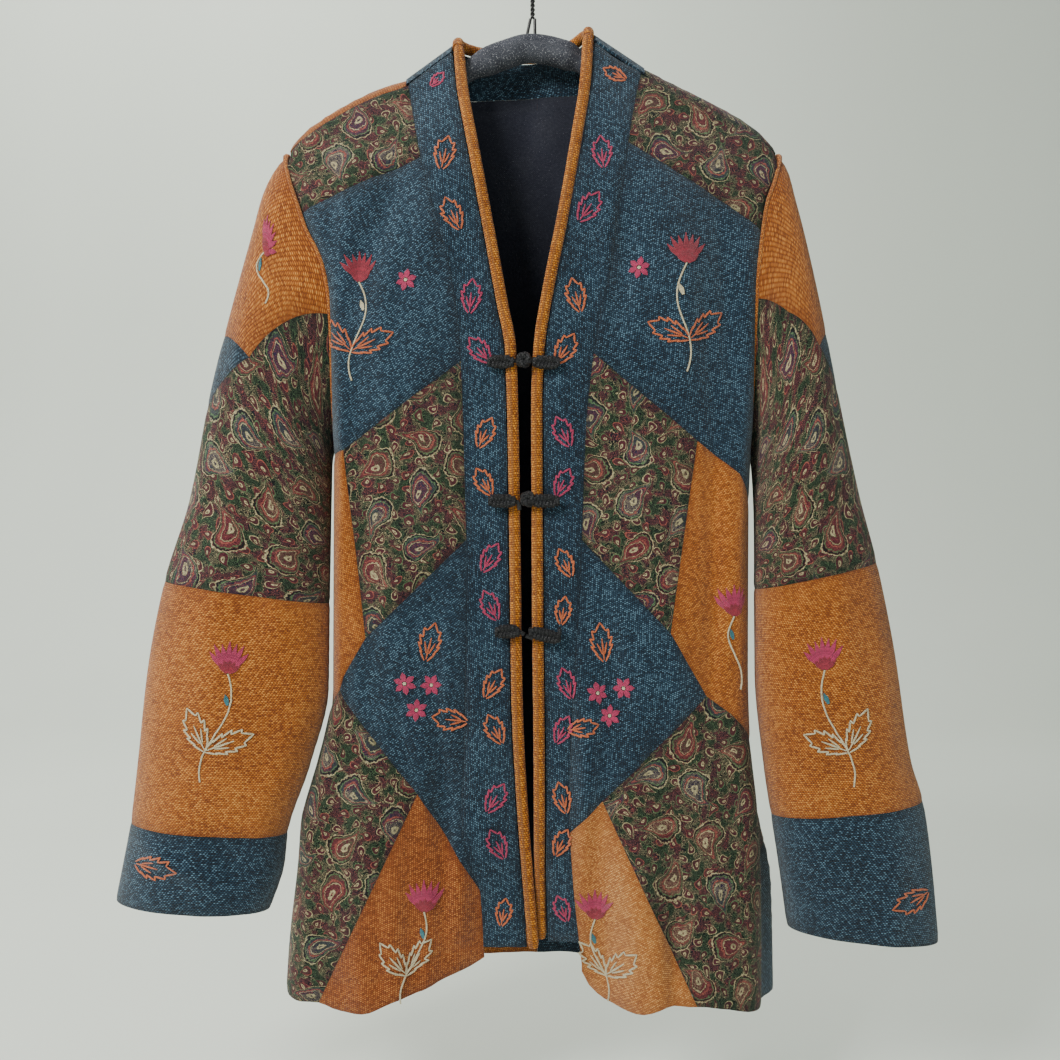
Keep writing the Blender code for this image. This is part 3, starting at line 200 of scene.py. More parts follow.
# Finer creases that only the visual model has.
CREASES_L = folds_of(
    (-74, 170, -66, 330, 4, 2.3), (-62, 380, -60, 480, 4, 2), (-96, 230, -112, 330, 5, -2.3),
    (-130, 250, -146, 340, 5, 2), (-84, 330, -100, 420, 6, 1.7), (-66, 560, -70, 680, 5, 2.3),
    (-110, 640, -96, 700, 6, -2), (-150, 640, -158, 760, 5, -2.6), (-176, 740, -184, 850, 5, 2.6),
    (-140, 560, -140, 640, 5, 2), (-84, 800, -84, 860, 5, 2.6), (-120, 800, -124, 870, 6, -2.3),
)
CREASES_R = folds_of(
    (64, 200, 56, 340, 4, 2.3), (96, 220, 88, 380, 5, -2.6), (136, 260, 144, 420, 6, -2.9),
    (158, 260, 166, 400, 4, 2.2), (52, 560, 46, 700, 5, 2), (120, 470, 112, 620, 5, 2),
    (156, 500, 152, 640, 4, 2.3), (96, 640, 84, 740, 6, -2), (140, 700, 150, 860, 6, 2.6),
    (160, 720, 168, 870, 5, -2.6), (60, 800, 62, 866, 5, -2.3), (98, 790, 104, 866, 5, 2.6),
)
CREASES_BACK = folds_of(
    (-60, 260, -70, 520, 7, 2.3), (60, 240, 66, 500, 7, -2.3), (-120, 300, -128, 560, 7, -2.3),
    (120, 320, 126, 600, 7, 2.3), (0, 600, 6, 850, 8, -2.3), (-70, 620, -72, 860, 8, 2.3),
    (70, 640, 76, 870, 8, 2.3),
)
# Creases of the sleeves, by flat place round and length down.
CREASES_SLEEVE_L = folds_of(
    (40, 60, 30, 260, 7, 3), (100, 420, 112, 480, 8, -3), (20, 250, 40, 320, 8, -2),
    (26, 440, 84, 475, 12, 4.5), (84, 430, 112, 500, 9, -3.5), (90, 160, 84, 300, 8, -2.4),
    (58, 120, 66, 330, 9, 2.2), (118, 300, 112, 420, 8, 2.6),
)
CREASES_SLEEVE_R = folds_of(
    (44, 60, 36, 240, 7, 2.6), (96, 180, 108, 330, 9, -2.8), (60, 140, 66, 320, 8, 2),
    (30, 260, 44, 400, 9, 2.2), (84, 300, 76, 460, 9, -2.2), (52, 440, 60, 520, 9, 2.4),
)
ROLL_DROP = 1000
# Inner edge's x, y and drop, then the outer seam's x and drop. Near ROLL_DROP, it is ROLL_DROP and
# the angle in degrees round the shoulder roll.
NECK = (
    (-61.8, -11.7, 93.3, -104.5, 1060), (-61.9, -6.3, 87, -104.5, 1028),
    (-61.9, 0, 85, -104, 1000), (-57.5, 7, 85.5, -101, 955),
    (-48, 14, 86, -94, 128), (-34, 20, 86.5, -72, 127),
    (-18, 24.5, 87, -38, 124), (-5, 25.5, 87, -5, 122),
    (8, 24.5, 86, 25, 121), (22, 20, 84, 58, 119),
    (34, 14, 80, 80, 119), (42, 7, 76.5, 89, 955),
    (45.9, 0, 76, 92, 1000), (45.9, -6.3, 78, 92, 1028),
    (45.8, -11.7, 84.1, 92, 1060),
)
HUG_TOP = 0.7
HUG_UNDER = 0.5
SLEEVE_HEAD = 85.0
# Outer point's x and drop, inner point's x and drop, middle depth and half depth.
SLEEVE_L = (
    (-204.8, 180, -165.9, 419.6, 0, 28), (-214, 192.5, -168, 424, -1, 29),
    (-223, 213, -168, 429, -3, 30), (-230, 242, -167.8, 434, -6, 31),
    (-245, 302, -167, 449, -11, 33), (-262, 375, -166.6, 473, -16, 34),
    (-278, 465, -166.5, 516, -21, 35), (-297.7, 531.5, -166.5, 549.4, -24, 35),
    (-310.9, 604, -167, 618, -26, 35), (-318, 674, -182, 681, -27, 34),
    (-324, 725.5, -200, 735, -27, 33), (-330, 758, -203, 762, -27, 33),
    (-336, 788, -214, 796, -27, 32),
)
SLEEVE_R = (
    (204.3, 180, 181.4, 419.6, 0, 28), (211, 193, 182.5, 425, -1, 29),
    (216, 215.5, 182.6, 431, -4, 30), (222, 243, 182.4, 437.5, -8, 31),
    (233, 301, 182, 455, -15, 33), (245, 372, 181.6, 480, -22, 34),
    (262.5, 462, 180.9, 518, -27, 35), (276, 516, 180.3, 537.5, -29, 35),
    (290, 587, 180.6, 604, -30, 35), (303.4, 675.5, 188, 682, -30, 34),
    (313, 707.5, 193.5, 719, -30, 33), (320, 754, 200, 760, -29, 33),
    (326.5, 821, 207, 810, -28, 32),
)


def smooth(rows: Rows, at: float) -> float:
    """Read a short table on a curve without overshoot.

    Args:
        rows: Pairs of place and value, in order of place.
        at: The place to read.

    Returns:
        The value there.
    """
    if at <= rows[0][0]:
        return rows[0][1]
    if at >= rows[-1][0]:
        return rows[-1][1]
    low = 0
    while rows[low + 1][0] <= at:
        low += 1

    def chord(i: int) -> float:
        """Slope of one stretch."""
        return (rows[i + 1][1] - rows[i][1]) / (rows[i + 1][0] - rows[i][0])

    def slope(i: int) -> float:
        """Slope at one row, none where the curve turns."""
        if i == 0:
            return chord(0)
        if i == len(rows) - 1:
            return chord(i - 1)
        before, after = chord(i - 1), chord(i)
        return 0.0 if before * after <= 0 else 2 * before * after / (before + after)

    (x0, y0), (x1, y1) = rows[low], rows[low + 1]
    span = x1 - x0
    t = (at - x0) / span
    m0, m1 = slope(low) * span, slope(low + 1) * span
    return y0 + (y1 - y0) * t * t * (3 - 2 * t) + m0 * t * (1 - t) ** 2 - m1 * t * t * (1 - t)


def along(points: Sequence[Sequence[float]], at: float) -> list[float]:
    """Point on a smooth curve through others, which are counted from zero."""
    return [smooth([(i, p[k]) for i, p in enumerate(points)], at) for k in range(len(points[0]))]


def fold_height(folds: Sequence[Fold], x: float, drop: float) -> float:
    """Sum of a panel's folds at one place.

    Args:
        folds: The panel's folds.
        x: Place across.
        drop: Distance below the hook.

    Returns:
        How far the cloth stands out there.
    """
    total = 0.0
    for fold in folds:
        run = fold.drop1 - fold.drop0
        along = (drop - fold.drop0) / run
        near = min(max(along, 0.0), 1.0)
        centre = fold.x0 + (fold.x1 - fold.x0) * near
        away = ((x - centre) / fold.width) ** 2 + ((along - near) * run / 40.0) ** 2
        if away < 9:
            total += fold.height * math.sin(math.pi * (0.12 + 0.76 * near)) * math.exp(-away)
    return total


def columns(rows: Sequence[tuple], names: Iterable[str]) -> dict[str, list[Flat]]:
    """Short table of place and value for each column of a section table after its first."""
    return {name: [(row[0], row[i]) for row in rows] for i, name in enumerate(names, 1)}


def shoulder_start(x: float) -> float:
    """Drop at which a panel leaves the shoulder roll."""
    return smooth(RIDGE, x) + SHOULDER_TALL


def roll_drop(x: float, angle: float) -> float:
    """Flat drop of the line that lies at an angle round the shoulder roll."""
    return shoulder_start(x) - (math.pi / 2 - angle) * SHOULDER_TALL


def over_shoulder(x: float, drop: float, depth: float, settle: float) -> Flat:
    """Lay the cloth over the shoulder roll first, then down the panel.

    Args:
        x: Place across.
        drop: Flat drop.
        depth: Depth of the panel there.
        settle: How soon the panel reaches its own depth below the roll.

    Returns:
        Drop and depth of the cloth.
    """
    below = drop - shoulder_start(x)
    if below < 0:
        angle = math.pi / 2 + below / SHOULDER_TALL
        return (smooth(RIDGE, x) + SHOULDER_TALL * (1 - math.cos(angle)),
                SHOULDER_DEEP * math.sin(angle))
    eased = 1 - math.exp(-(below / settle) ** 1.25)
    return drop, SHOULDER_DEEP + (depth - SHOULDER_DEEP) * eased


def armhole_depth(drop: float) -> float:
    """Depth of the armhole's edge before or behind the hanger."""
    middle, half = (TIP + UNDERARM) / 2, (UNDERARM - TIP) / 2
    return ARMHOLE_DEEP * math.sqrt(max(0.0, 1 - ((drop - middle) / half) ** 2))


def crumple(flat: float, drop: float, seed: float, height: float) -> float:
    """Soft unevenness of hanging cloth, longer down than across.

    Args:
        flat: Flat place across.
        drop: Flat drop.
        seed: Number that sets one piece's unevenness apart from another's.
        height: Its size.

    Returns:
        How far the cloth stands out.
    """
    broad = noise.noise(Vector((flat / 34, drop / 95, seed)))
    fine = noise.noise(Vector((flat / 13, drop / 38, seed + 7.3)))
    return height * (broad + 0.4 * fine)


@dataclass
class Panel:
    """A large shape of the coat that several patches lie on, read by flat place and drop."""

    outward: int
    seed: float

    def point(self, flat: float, drop: float) -> Vector:
        """Place in space of a flat point; each kind of panel has its own."""
        raise NotImplementedError

    def normal(self, flat: float, drop: float, reach: float = 1.0) -> Vector:
        """Direction out of the cloth.

        Args:
            flat: Flat place across.
            drop: Flat drop.
            reach: How far apart the shape is read for it.

        Returns:
            A direction of length one.
        """
        across = self.point(flat + reach, drop) - self.point(flat - reach, drop)
        down = self.point(flat, drop + reach) - self.point(flat, drop - reach)
        return across.cross(down).normalized() * self.outward

    def raised(self, flat: float, drop: float, height: float) -> Vector:
        """Place above the face of the cloth, which is half its wall outside its middle."""
        return self.point(flat, drop) + self.normal(flat, drop) * (CLOTH / 2 + height)


@dataclass
class BodyPanel(Panel):
    """A front or the back, which both turn to the side seam past a corner."""

    folds: Sequence[Fold]
    tables: dict[str, list[Flat]] = field(init=False, default_factory=dict)
    slight_above: float = field(init=False, default=300.0)

    def side_depth(self, drop: float) -> float:
        """Depth of the outer edge on the panel's own side: the armhole first, then the side seam."""
        if drop < UNDERARM:
            return armhole_depth(drop)
        return -SIDE_SEAM_DEEP * self.outward * min(1.0, (drop - UNDERARM) / 200)

    def sweep(self, drop: float) -> float:
        """Angle that the turn covers: a slight one beside the sleeve head, square below it."""
        return smooth(((250, 0.5), (340, math.pi / 2)), drop)

    def turn_length(self, drop: float) -> float:
        """Flat width of the turn."""
        across = smooth(self.tables["turn"], drop)
        deep = max(4.0, smooth(self.tables["corner"], drop) - self.side_depth(drop))
        if drop < self.slight_above:
            return math.hypot(across, 0.6 * deep)
        return math.pi / 2 * math.sqrt((across ** 2 + deep ** 2) / 2)

    def turned(self, corner: Flat, edge: float, drop: float, part: float) -> Flat:
        """Place across and depth part of the way round the turn.

        Args:
            corner: Place across and depth where the turn starts.
            edge: Place across of its end.
            drop: Distance below the hook.
            part: How far round it the place is, from zero to one.

        Returns:
            The place across and the depth.
        """
        sweep = self.sweep(drop)
        angle = sweep * part
        x = corner[0] + (edge - corner[0]) * math.sin(angle) / math.sin(sweep)
        rest = (1 - math.cos(angle)) / (1 - math.cos(sweep))
        return x, corner[1] + (self.side_depth(drop) - corner[1]) * rest

    def relief(self, hem: Rows, x: float, drop: float, past: float) -> float:
        """How far folds, unevenness and the stitched hem lift the cloth.

        Args:
            hem: The panel's hem line.
            x: Place across.
            drop: Distance below the hook.
            past: How far past the corner the place is.

        Returns:
            The height.
        """
        fade = min(1.0, max(0.0, (drop - shoulder_start(x)) / ROLL_FADE))
        fade *= max(0.0, 1 - max(past, 0) / TURN_FADE)
        if not fade:
            return 0.0
        height = (fold_height(self.folds, x, drop) + crumple(x, drop, self.seed, BODY_CRUMPLE)) * fade
        if drop > HEM_REACH:
            above = smooth(hem, x) - drop - HEM_STITCH
            height -= HEM_DENT * math.exp(-(above / HEM_DENT_WIDE) ** 2)
        return height


@dataclass
class FrontPanel(BodyPanel):
    """One front with its band: flat x follows the front view and turns back past the corner."""

    side: Side
    edge: Rows
    band: Rows
    outer_line: Rows
    hem: Rows
    rows: Sequence[tuple]

    def __post_init__(self) -> None:
        """Split the section table once."""
        self.tables = columns(self.rows, FRONT_COLUMNS)

    def corner(self, drop: float) -> float:
        """Place across where the front starts to turn back."""
        return smooth(self.outer_line, drop) - self.side.sign * smooth(self.tables["turn"], drop)

    def outer(self, drop: float) -> float:
        """Flat place of the outer edge."""
        return self.corner(drop) + self.side.sign * self.turn_length(drop)

    def face_depth(self, x: float, drop: float) -> float:
        """Depth of the front's face.

        Args:
            x: Place across.
            drop: Distance below the hook.

        Returns:
            How far in front of the hanger it lies.
        """
        edge, band = smooth(self.edge, drop), smooth(self.band, drop)
        corner = self.corner(drop)
        depths = (
            (0.0, smooth(self.tables["edge"], drop)),
            (abs(band - edge), smooth(self.tables["seam"], drop)),
            (abs((band + corner) / 2 - edge), smooth(self.tables["middle"], drop)),
            (abs(corner - edge), smooth(self.tables["corner"], drop)),
        )
        return smooth(depths, self.side.sign * (x - edge))

    def point(self, flat: float, drop: float) -> Vector:
        """Place in space of a flat point."""
        sign, corner = self.side.sign, self.corner(drop)
        past = sign * (flat - corner)
        if past <= 0:
            x, depth = flat, self.face_depth(flat, drop)
        else:
            part = min(past / self.turn_length(drop), 1.0)
            start = (corner, self.face_depth(corner, drop))
            x, depth = self.turned(start, smooth(self.outer_line, drop), drop, part)
        drop_now, deep = over_shoulder(x, drop, depth, SHOULDER_SETTLE)
        deep += self.relief(self.hem, x, drop, past)
        return Vector((x, -deep, -drop_now))


@dataclass
class BackPanel(BodyPanel):
    """The whole back, from the seams in front of the shoulder line to the hem."""

    def __post_init__(self) -> None:
        """Split the section table once."""
        self.tables = columns(BACK, BACK_COLUMNS)

    def edge_line(self, sign: int, drop: float) -> float:
        """Place across of an outer edge."""
        return smooth(SIDE_L if sign < 0 else SIDE_R, drop)

    def corner(self, sign: int, drop: float) -> float:
        """Place across where the back starts to turn forward."""
        return self.edge_line(sign, drop) - sign * smooth(self.tables["turn"], drop)

    def outer(self, sign: int, drop: float) -> float:
        """Flat place of an outer edge."""
        return self.corner(sign, drop) + sign * self.turn_length(drop)

    def point(self, flat: float, drop: float) -> Vector:
        """Place in space of a flat point."""
        sign = -1 if flat < 0 else 1
        corner = self.corner(sign, drop)
        past = sign * (flat - corner)
        middle, edge = smooth(self.tables["middle"], drop), smooth(self.tables["corner"], drop)
        face = middle + (edge - middle) * min(abs(flat / corner), 1.0) ** 2
        x, depth = flat, face
        if past > 0:
            part = min(past / self.turn_length(drop), 1.0)
            belly = smooth(self.tables["belly_l" if sign < 0 else "belly_r"], drop)
            x, depth = self.turned((corner, face), self.edge_line(sign, drop), drop, part)
            x += sign * belly * math.sin(math.pi * part) ** 2
        drop_now, deep = over_shoulder(x, drop, depth, BACK_SETTLE)
        deep += self.relief(HEM_BACK, x, drop, past)
        return Vector((x, deep, -drop_now))


@dataclass
class SleeveShape(Panel):
    """One sleeve: flat runs round it from the outer line by the front, 300 for a whole round."""

    rings: Sequence[tuple]
    side: Side
    creases: Sequence[Fold]
    round_length: float = 300.0
    smooth_head: float = 40.0
    crumple_over: float = 60.0
    find_edges: Flat = (4.0, 146.0)
    find_steps: int = 12
    lengths: list[float] = field(init=False)
    tables: dict[str, list[Flat]] = field(init=False)

    def __post_init__(self) -> None:
        """Work out how far down the sleeve each section is."""
        middles = [((ring[0] + ring[2]) / 2, (ring[1] + ring[3]) / 2) for ring in self.rings]
        self.lengths = [0.0]
        for one, two in zip(middles, middles[1:]):
            self.lengths.append(self.lengths[-1] + math.dist(one, two))
        self.tables = columns([(at, *ring) for at, ring in zip(self.lengths, self.rings)], RING_COLUMNS)

    def armhole_shift(self, cos: float) -> float:
        """How far the armhole's line lies from the plain first section."""
        out_x, out_drop, in_x, in_drop = self.rings[0][:4]
        x = (out_x + in_x) / 2 + (out_x - in_x) / 2 * cos
        drop = (out_drop + in_drop) / 2 + (out_drop - in_drop) / 2 * cos
        hug = HUG_TOP + HUG_UNDER * max(0.0, (1 - cos) / 2) ** 2
        line = SIDE_L if self.side is Side.LEFT else SIDE_R
        return smooth(line, drop) + self.side.sign * hug - x

    def point(self, flat: float, drop: float) -> Vector:
        """Place in space of a flat point, where drop is how far down the sleeve it is."""
        angle = 2 * math.pi * flat / self.round_length
        cos, sin = math.cos(angle), math.sin(angle)
        out_x, in_x = smooth(self.tables["out_x"], drop), smooth(self.tables["in_x"], drop)
        out_drop, in_drop = smooth(self.tables["out_drop"], drop), smooth(self.tables["in_drop"], drop)
        deep = smooth(self.tables["deep"], drop)
        if drop > self.smooth_head:
            ease = min(1.0, (drop - self.smooth_head) / self.crumple_over) * abs(sin)
            deep += ease * (fold_height(self.creases, flat, drop)
                            + crumple(flat, drop, self.seed, SLEEVE_CRUMPLE))
        x = (out_x + in_x) / 2 + (out_x - in_x) / 2 * cos
        x += self.armhole_shift(cos) * max(0.0, 1 - drop / SLEEVE_HEAD) ** 2
        return Vector((
            x, smooth(self.tables["y"], drop) - deep * sin,
            -(out_drop + in_drop) / 2 - (out_drop - in_drop) / 2 * cos))

    def find(self, x: float, drop: float) -> Flat:
        """Flat point of the sleeve's front that the front view shows at a place.

        Args:
            x: Place across.
            drop: Distance below the hook.

        Returns:
            Flat place round the sleeve and length down it.
        """
        (first, last), count, foot = self.find_edges, self.find_steps, self.lengths[-1]
        low, high = (first, 0.0), (last, foot)
        for _ in range(5):
            near = math.inf
            for i in range(count + 1):
                for j in range(count + 1):
                    spot = (low[0] + (high[0] - low[0]) * i / count,
                            low[1] + (high[1] - low[1]) * j / count)
                    here = self.point(*spot)
                    away = math.hypot(here.x - x, here.z + drop)
                    if away < near:
                        near, best = away, spot
            half = [(b - a) / 5 for a, b in zip(low, high)]
            low = (max(first, best[0] - half[0]), max(0.0, best[1] - half[1]))
            high = (min(last, best[0] + half[0]), min(foot, best[1] + half[1]))
        return best


@dataclass
class NeckShape(Panel):
    """The band round the back of the neck: flat runs across it from 0 to 1, drop counts sections."""

    back: BackPanel | None = None
    seam: list[Flat] = field(default_factory=list)

    def __post_init__(self) -> None:
        """Lay the seam to the back out as flat points of the back."""
        for _, _, _, x, drop in NECK:
            if drop > ROLL_DROP - 90:
                drop = roll_drop(x, -math.radians(drop - ROLL_DROP))
            self.seam.append((x, drop))

    def point(self, flat: float, drop: float) -> Vector:
        """Place in space of a flat point."""
        inner = Vector(along([row[:3] for row in NECK], drop))
        inner.z = -inner.z
        outer = self.back.point(*along(self.seam, drop))
        return inner + (outer - inner) * flat

    def seam_drop(self, x: float) -> float:
        """Drop of the neck seam at a place across."""
        below = [p for p in self.seam if p[0] <= x][-1]
        above = [p for p in self.seam if p[0] > x][0]
        return below[1] + (above[1] - below[1]) * (x - below[0]) / (above[0] - below[0])


def line(start: Flat, end: Flat, step: float = EDGE_STEP) -> list[Flat]:
    """Points about a step apart from one flat place to another, without the last."""
    count = max(1, round(math.dist(start, end) / step))
    return [tuple(a + (b - a) * i / count for a, b in zip(start, end)) for i in range(count)]


def bent(places: Sequence[Flat], step: float = EDGE_STEP) -> list[Flat]:
    """Points along a line through several flat places, without the last."""
    return [p for start, end in zip(places, places[1:]) for p in line(start, end, step)]


def steps(first: float, last: float) -> list[float]:
    """Even steps from one number to another, without the last."""
    count = max(1, round(abs(last - first) / EDGE_STEP))
    return [first + (last - first) * i / count for i in range(count)]


def down_curve(across: Callable[[float], float], drop0: float, drop1: float) -> list[Flat]:
    """Points up or down a curve that gives the place across for a drop, without the last."""
    return [(across(drop), drop) for drop in steps(drop0, drop1)]


def hem_curve(hem: Rows, x0: float, x1: float) -> list[Flat]:
    """Points along a hem, without the last."""
    return [(x, smooth(hem, x)) for x in steps(x0, x1)]


def roll_curve(angle: float, x0: float, x1: float) -> list[Flat]:
    """Points along the shoulder at one angle round its roll, without the last."""
    return [(x, roll_drop(x, angle)) for x in steps(x0, x1)]


def shoulder_seam(x0: float, x1: float) -> list[Flat]:
    """Points of a front's seam to the back, which rise at the tip, without the last."""
    rise = [(x, 0.6 * (max(0.0, abs(x) - TIP_TURN) / 19) ** 1.3) for x in steps(x0, x1)]
    return [(x, roll_drop(x, SEAM_ANGLE - more)) for x, more in rise]


def inset(outline: Sequence[Flat], by: float) -> list[Flat]:
    """Move each side of a closed outline inwards.

    Args:
        outline: The outline's points.
        by: How far.

    Returns:
        As many points, moved.
    """
    ring = np.array(outline)
    before, after = np.roll(ring, 1, axis=0), np.roll(ring, -1, axis=0)
    area = np.sum(ring[:, 0] * after[:, 1] - after[:, 0] * ring[:, 1])
    turn = 1 if area > 0 else -1

    def square(a: np.ndarray, b: np.ndarray) -> np.ndarray:
        """Directions inwards, square to the sides."""
        along = b - a
        size = np.maximum(np.hypot(along[:, 0], along[:, 1]), 1e-6)
        return np.stack((-along[:, 1], along[:, 0]), axis=1) * (turn / size)[:, None]

    total = square(before, ring) + square(ring, after)
    size = np.maximum(0.35, np.sum(total ** 2, axis=1) / 2)
    return [tuple(p) for p in ring + total * (by / size)[:, None]]


def inside(spots: np.ndarray, outline: Sequence[Flat]) -> np.ndarray:
    """Tell which of many spots lie inside a closed outline.

    Args:
        spots: One row for each spot.
        outline: The outline's points.

    Returns:
        True for each spot inside.
    """
    odd = np.zeros(len(spots), bool)
    for (x0, y0), (x1, y1) in zip(outline, list(outline[1:]) + [outline[0]]):
        if y0 == y1:
            continue
        crosses = (spots[:, 1] < y0) != (spots[:, 1] < y1)
        odd ^= crosses & (spots[:, 0] < (x1 - x0) * (spots[:, 1] - y0) / (y1 - y0) + x0)
    return odd


def border(spots: np.ndarray, outline: Sequence[Flat]) -> np.ndarray:
    """Distance from many spots to a closed outline.

    Args:
        spots: One row for each spot.
        outline: The outline's points.

    Returns:
        One distance for each spot.
    """
    best = np.full(len(spots), 1e9)
    for a, b in zip(outline, list(outline[1:]) + [outline[0]]):
        start, run = np.array(a), np.array(b) - np.array(a)
        t = np.clip((spots - start) @ run / max(run @ run, 1e-9), 0, 1)
        best = np.minimum(best, np.hypot(*(spots - start - t[:, None] * run).T))
    return best


def grid_spots(outline: Sequence[Flat], across: float, down: float) -> np.ndarray:
    """Evenly spaced points inside a flat outline, with a closer row along its edge.

    Args:
        outline: The outline's points.
        across: Spacing across.
        down: Spacing down.

    Returns:
        One row for each point.
    """
    ring = np.array(outline)
    low, high = ring.min(axis=0), ring.max(axis=0)
    spots = []
    for row in range(math.floor(low[1] / down), math.ceil(high[1] / down) + 1):
        shift = 0.5 * (row % 2)
        for col in range(math.floor(low[0] / across) - 1, math.ceil(high[0] / across) + 1):
            spots.append(((col + shift) * across, row * down))
    grid = np.array(spots)
    grid = grid[inside(grid, outline)]
    grid = grid[border(grid, outline) > 0.75 * across]
    near = np.array(inset(outline, 0.36 * across))
    near = near[inside(near, outline)]
    near = near[border(near, outline) > 0.3 * across]
    return np.concatenate((grid, near))


class Builder:
    """Collects points, faces, finishes and flat places of one mesh, in millimetres."""

    def __init__(self) -> None:
        """Start with nothing."""
        self.verts: list[Vector] = []
        self.faces: list[tuple[int, ...]] = []
        self.slots: list[int] = []
        self.flats: list[Flat] = []
        self.seams: list[float] = []

    def add(self, verts: Iterable[Vector], flats: Iterable[Flat],
            faces: Iterable[Sequence[int]], slot: int = 0) -> None:
        """Add one closed form.

        Args:
            verts: Its points.
            flats: Each point's place in the cloth or along the thread.
            faces: Its faces, counted from its own first point.
            slot: Which of the piece's finishes it has.
        """
        start = len(self.verts)
        self.verts += verts
        self.flats += flats
        for face in faces:
            self.faces.append(tuple(start + i for i in face))
            self.slots.append(slot)

    def wall(self, outside: list[Vector], within: list[Vector], flats: list[Flat],
             faces: list[tuple[int, ...]], inner: Callable[[tuple[int, ...]], int]) -> None:
        """Add a closed wall of cloth between two layers of like points.

        Args:
            outside: Points of the outer layer.
            within: Points of the inner layer.
            flats: Each point's place in the cloth.
            faces: Faces of the outer layer.
            inner: Gives the finish of the face behind one of them.
        """
        total = len(outside)
        sides = {(a, b) for face in faces for a, b in zip(face, face[1:] + face[:1])}
        rims = [(a, b, b + total, a + total) for a, b in sides if (b, a) not in sides]
        self.add(outside, flats, faces + rims)
        self.add(within, flats, [])
        for face in faces:
            self.faces.append(tuple(i + total for i in reversed(face)))
            self.slots.append(inner(face))

    def tube(self, route: Sequence[Vector], radius: float | Callable[[float, float], float],
             sides: int = 12, flat: float = 1.0, lift: Vector | None = None, slot: int = 0,
             ends: tuple[Vector | None, Vector | None] = (None, None)) -> None:
        """Add a closed tube along a route.

        Args:
            route: The middle line.
            radius: One radius, or a function of the part along and the angle round.
            sides: Points round it.
            flat: How thick it is in the lift's direction, as a part of its width.
            lift: Direction that the first point round it faces.
            slot: Which of the piece's finishes it has.
            ends: Directions square to which its two ends are cut.
        """
        verts, flats, faces = [], [], []
        lead = lift
        travelled = 0.0
        last = len(route) - 1
        for i, spot in enumerate(route):
            ahead = (route[min(i + 1, last)] - route[max(i - 1, 0)]).normalized()
            ahead = ends[0] if i == 0 and ends[0] else ahead
            ahead = ends[1] if i == last and ends[1] else ahead
            if lead is None:
                lead = Vector((0, -1, 0)) if abs(ahead.y) < 0.9 else Vector((1, 0, 0))
            lead = (lead - ahead * lead.dot(ahead)).normalized()
            beside = ahead.cross(lead)
            travelled += (spot - route[max(i - 1, 0)]).length
            for k in range(sides):
                angle = 2 * math.pi * k / sides
                size = radius(i / last, angle) if callable(radius) else radius
                out = lead * math.cos(angle) * flat + beside * math.sin(angle)
                verts.append(spot + out * size)
                flats.append((k / sides * 2 * math.pi * size, travelled))
        for i in range(last):
            for k in range(sides):
                a, b = i * sides + k, i * sides + (k + 1) % sides
                faces.append((a, b, b + sides, a + sides))
        faces.append(tuple(reversed(range(sides))))
        faces.append(tuple(last * sides + k for k in range(sides)))
        self.add(verts, flats, faces, slot)

    def make(self, name: str, finishes: Sequence[Material], slot: str = "",
             nodes: Sequence[str] = ()) -> bpy.types.Object:
        """Turn what was added into an object that rides on the coat.

        Args:
            name: The piece's name.
            finishes: Its materials, in the order of the slots.
            slot: Not used.
            nodes: The frame's nodes that it stands for.

        Returns:
            The new object.
        """
        mesh = bpy.data.meshes.new(name)
        mesh.from_pydata([v * MM for v in self.verts], [], self.faces)
        for finish in finishes:
            mesh.materials.append(finish)
        mesh.polygons.foreach_set("material_index", self.slots)
        layer = mesh.uv_layers.new(name="flat")
        corners = np.empty(len(mesh.loops), np.int32)
        mesh.loops.foreach_get("vertex_index", corners)
        layer.data.foreach_set("uv", (np.array(self.flats)[corners] * MM).ravel())
        seam = mesh.attributes.new("seam", "FLOAT", "POINT")
        seam.data.foreach_set("value", self.seams or [0.0] * len(self.verts))
        body = bmesh.new()
        body.from_mesh(mesh)
        bmesh.ops.recalc_face_normals(body, faces=body.faces)
        body.to_mesh(mesh)
        body.free()
        mesh.shade_smooth()
        mesh.set_sharp_from_angle(angle=SHARP_EDGE)
        made = bpy.data.objects.new(name, mesh)
        bpy.context.scene.collection.objects.link(made)
        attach(made, "root")
        if nodes:
            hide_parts(*nodes)
        LOG.info("%s: %d faces", name, len(self.faces))
        return made


def smallest_rectangle(outline: Sequence[Flat]) -> tuple[float, float, float]:
    """Find the smallest rectangle that a flat outline is cut from.

    Args:
        outline: The outline's points.

    Returns:
        The rectangle's two sides and the outline's area.
    """
    ring = np.array(outline)
    after = np.roll(ring, -1, axis=0)
    area = abs(np.sum(ring[:, 0] * after[:, 1] - after[:, 0] * ring[:, 1])) / 2
    best = (math.inf, 0.0, 0.0)
    for degrees in range(0, 90, 3):
        angle = math.radians(degrees)
        u = ring @ np.array((math.cos(angle), math.sin(angle)))
        v = ring @ np.array((-math.sin(angle), math.cos(angle)))
        sides = (float(np.ptp(u)), float(np.ptp(v)))
        best = min(best, (sides[0] * sides[1], *sides))
    return best[1], best[2], float(area)


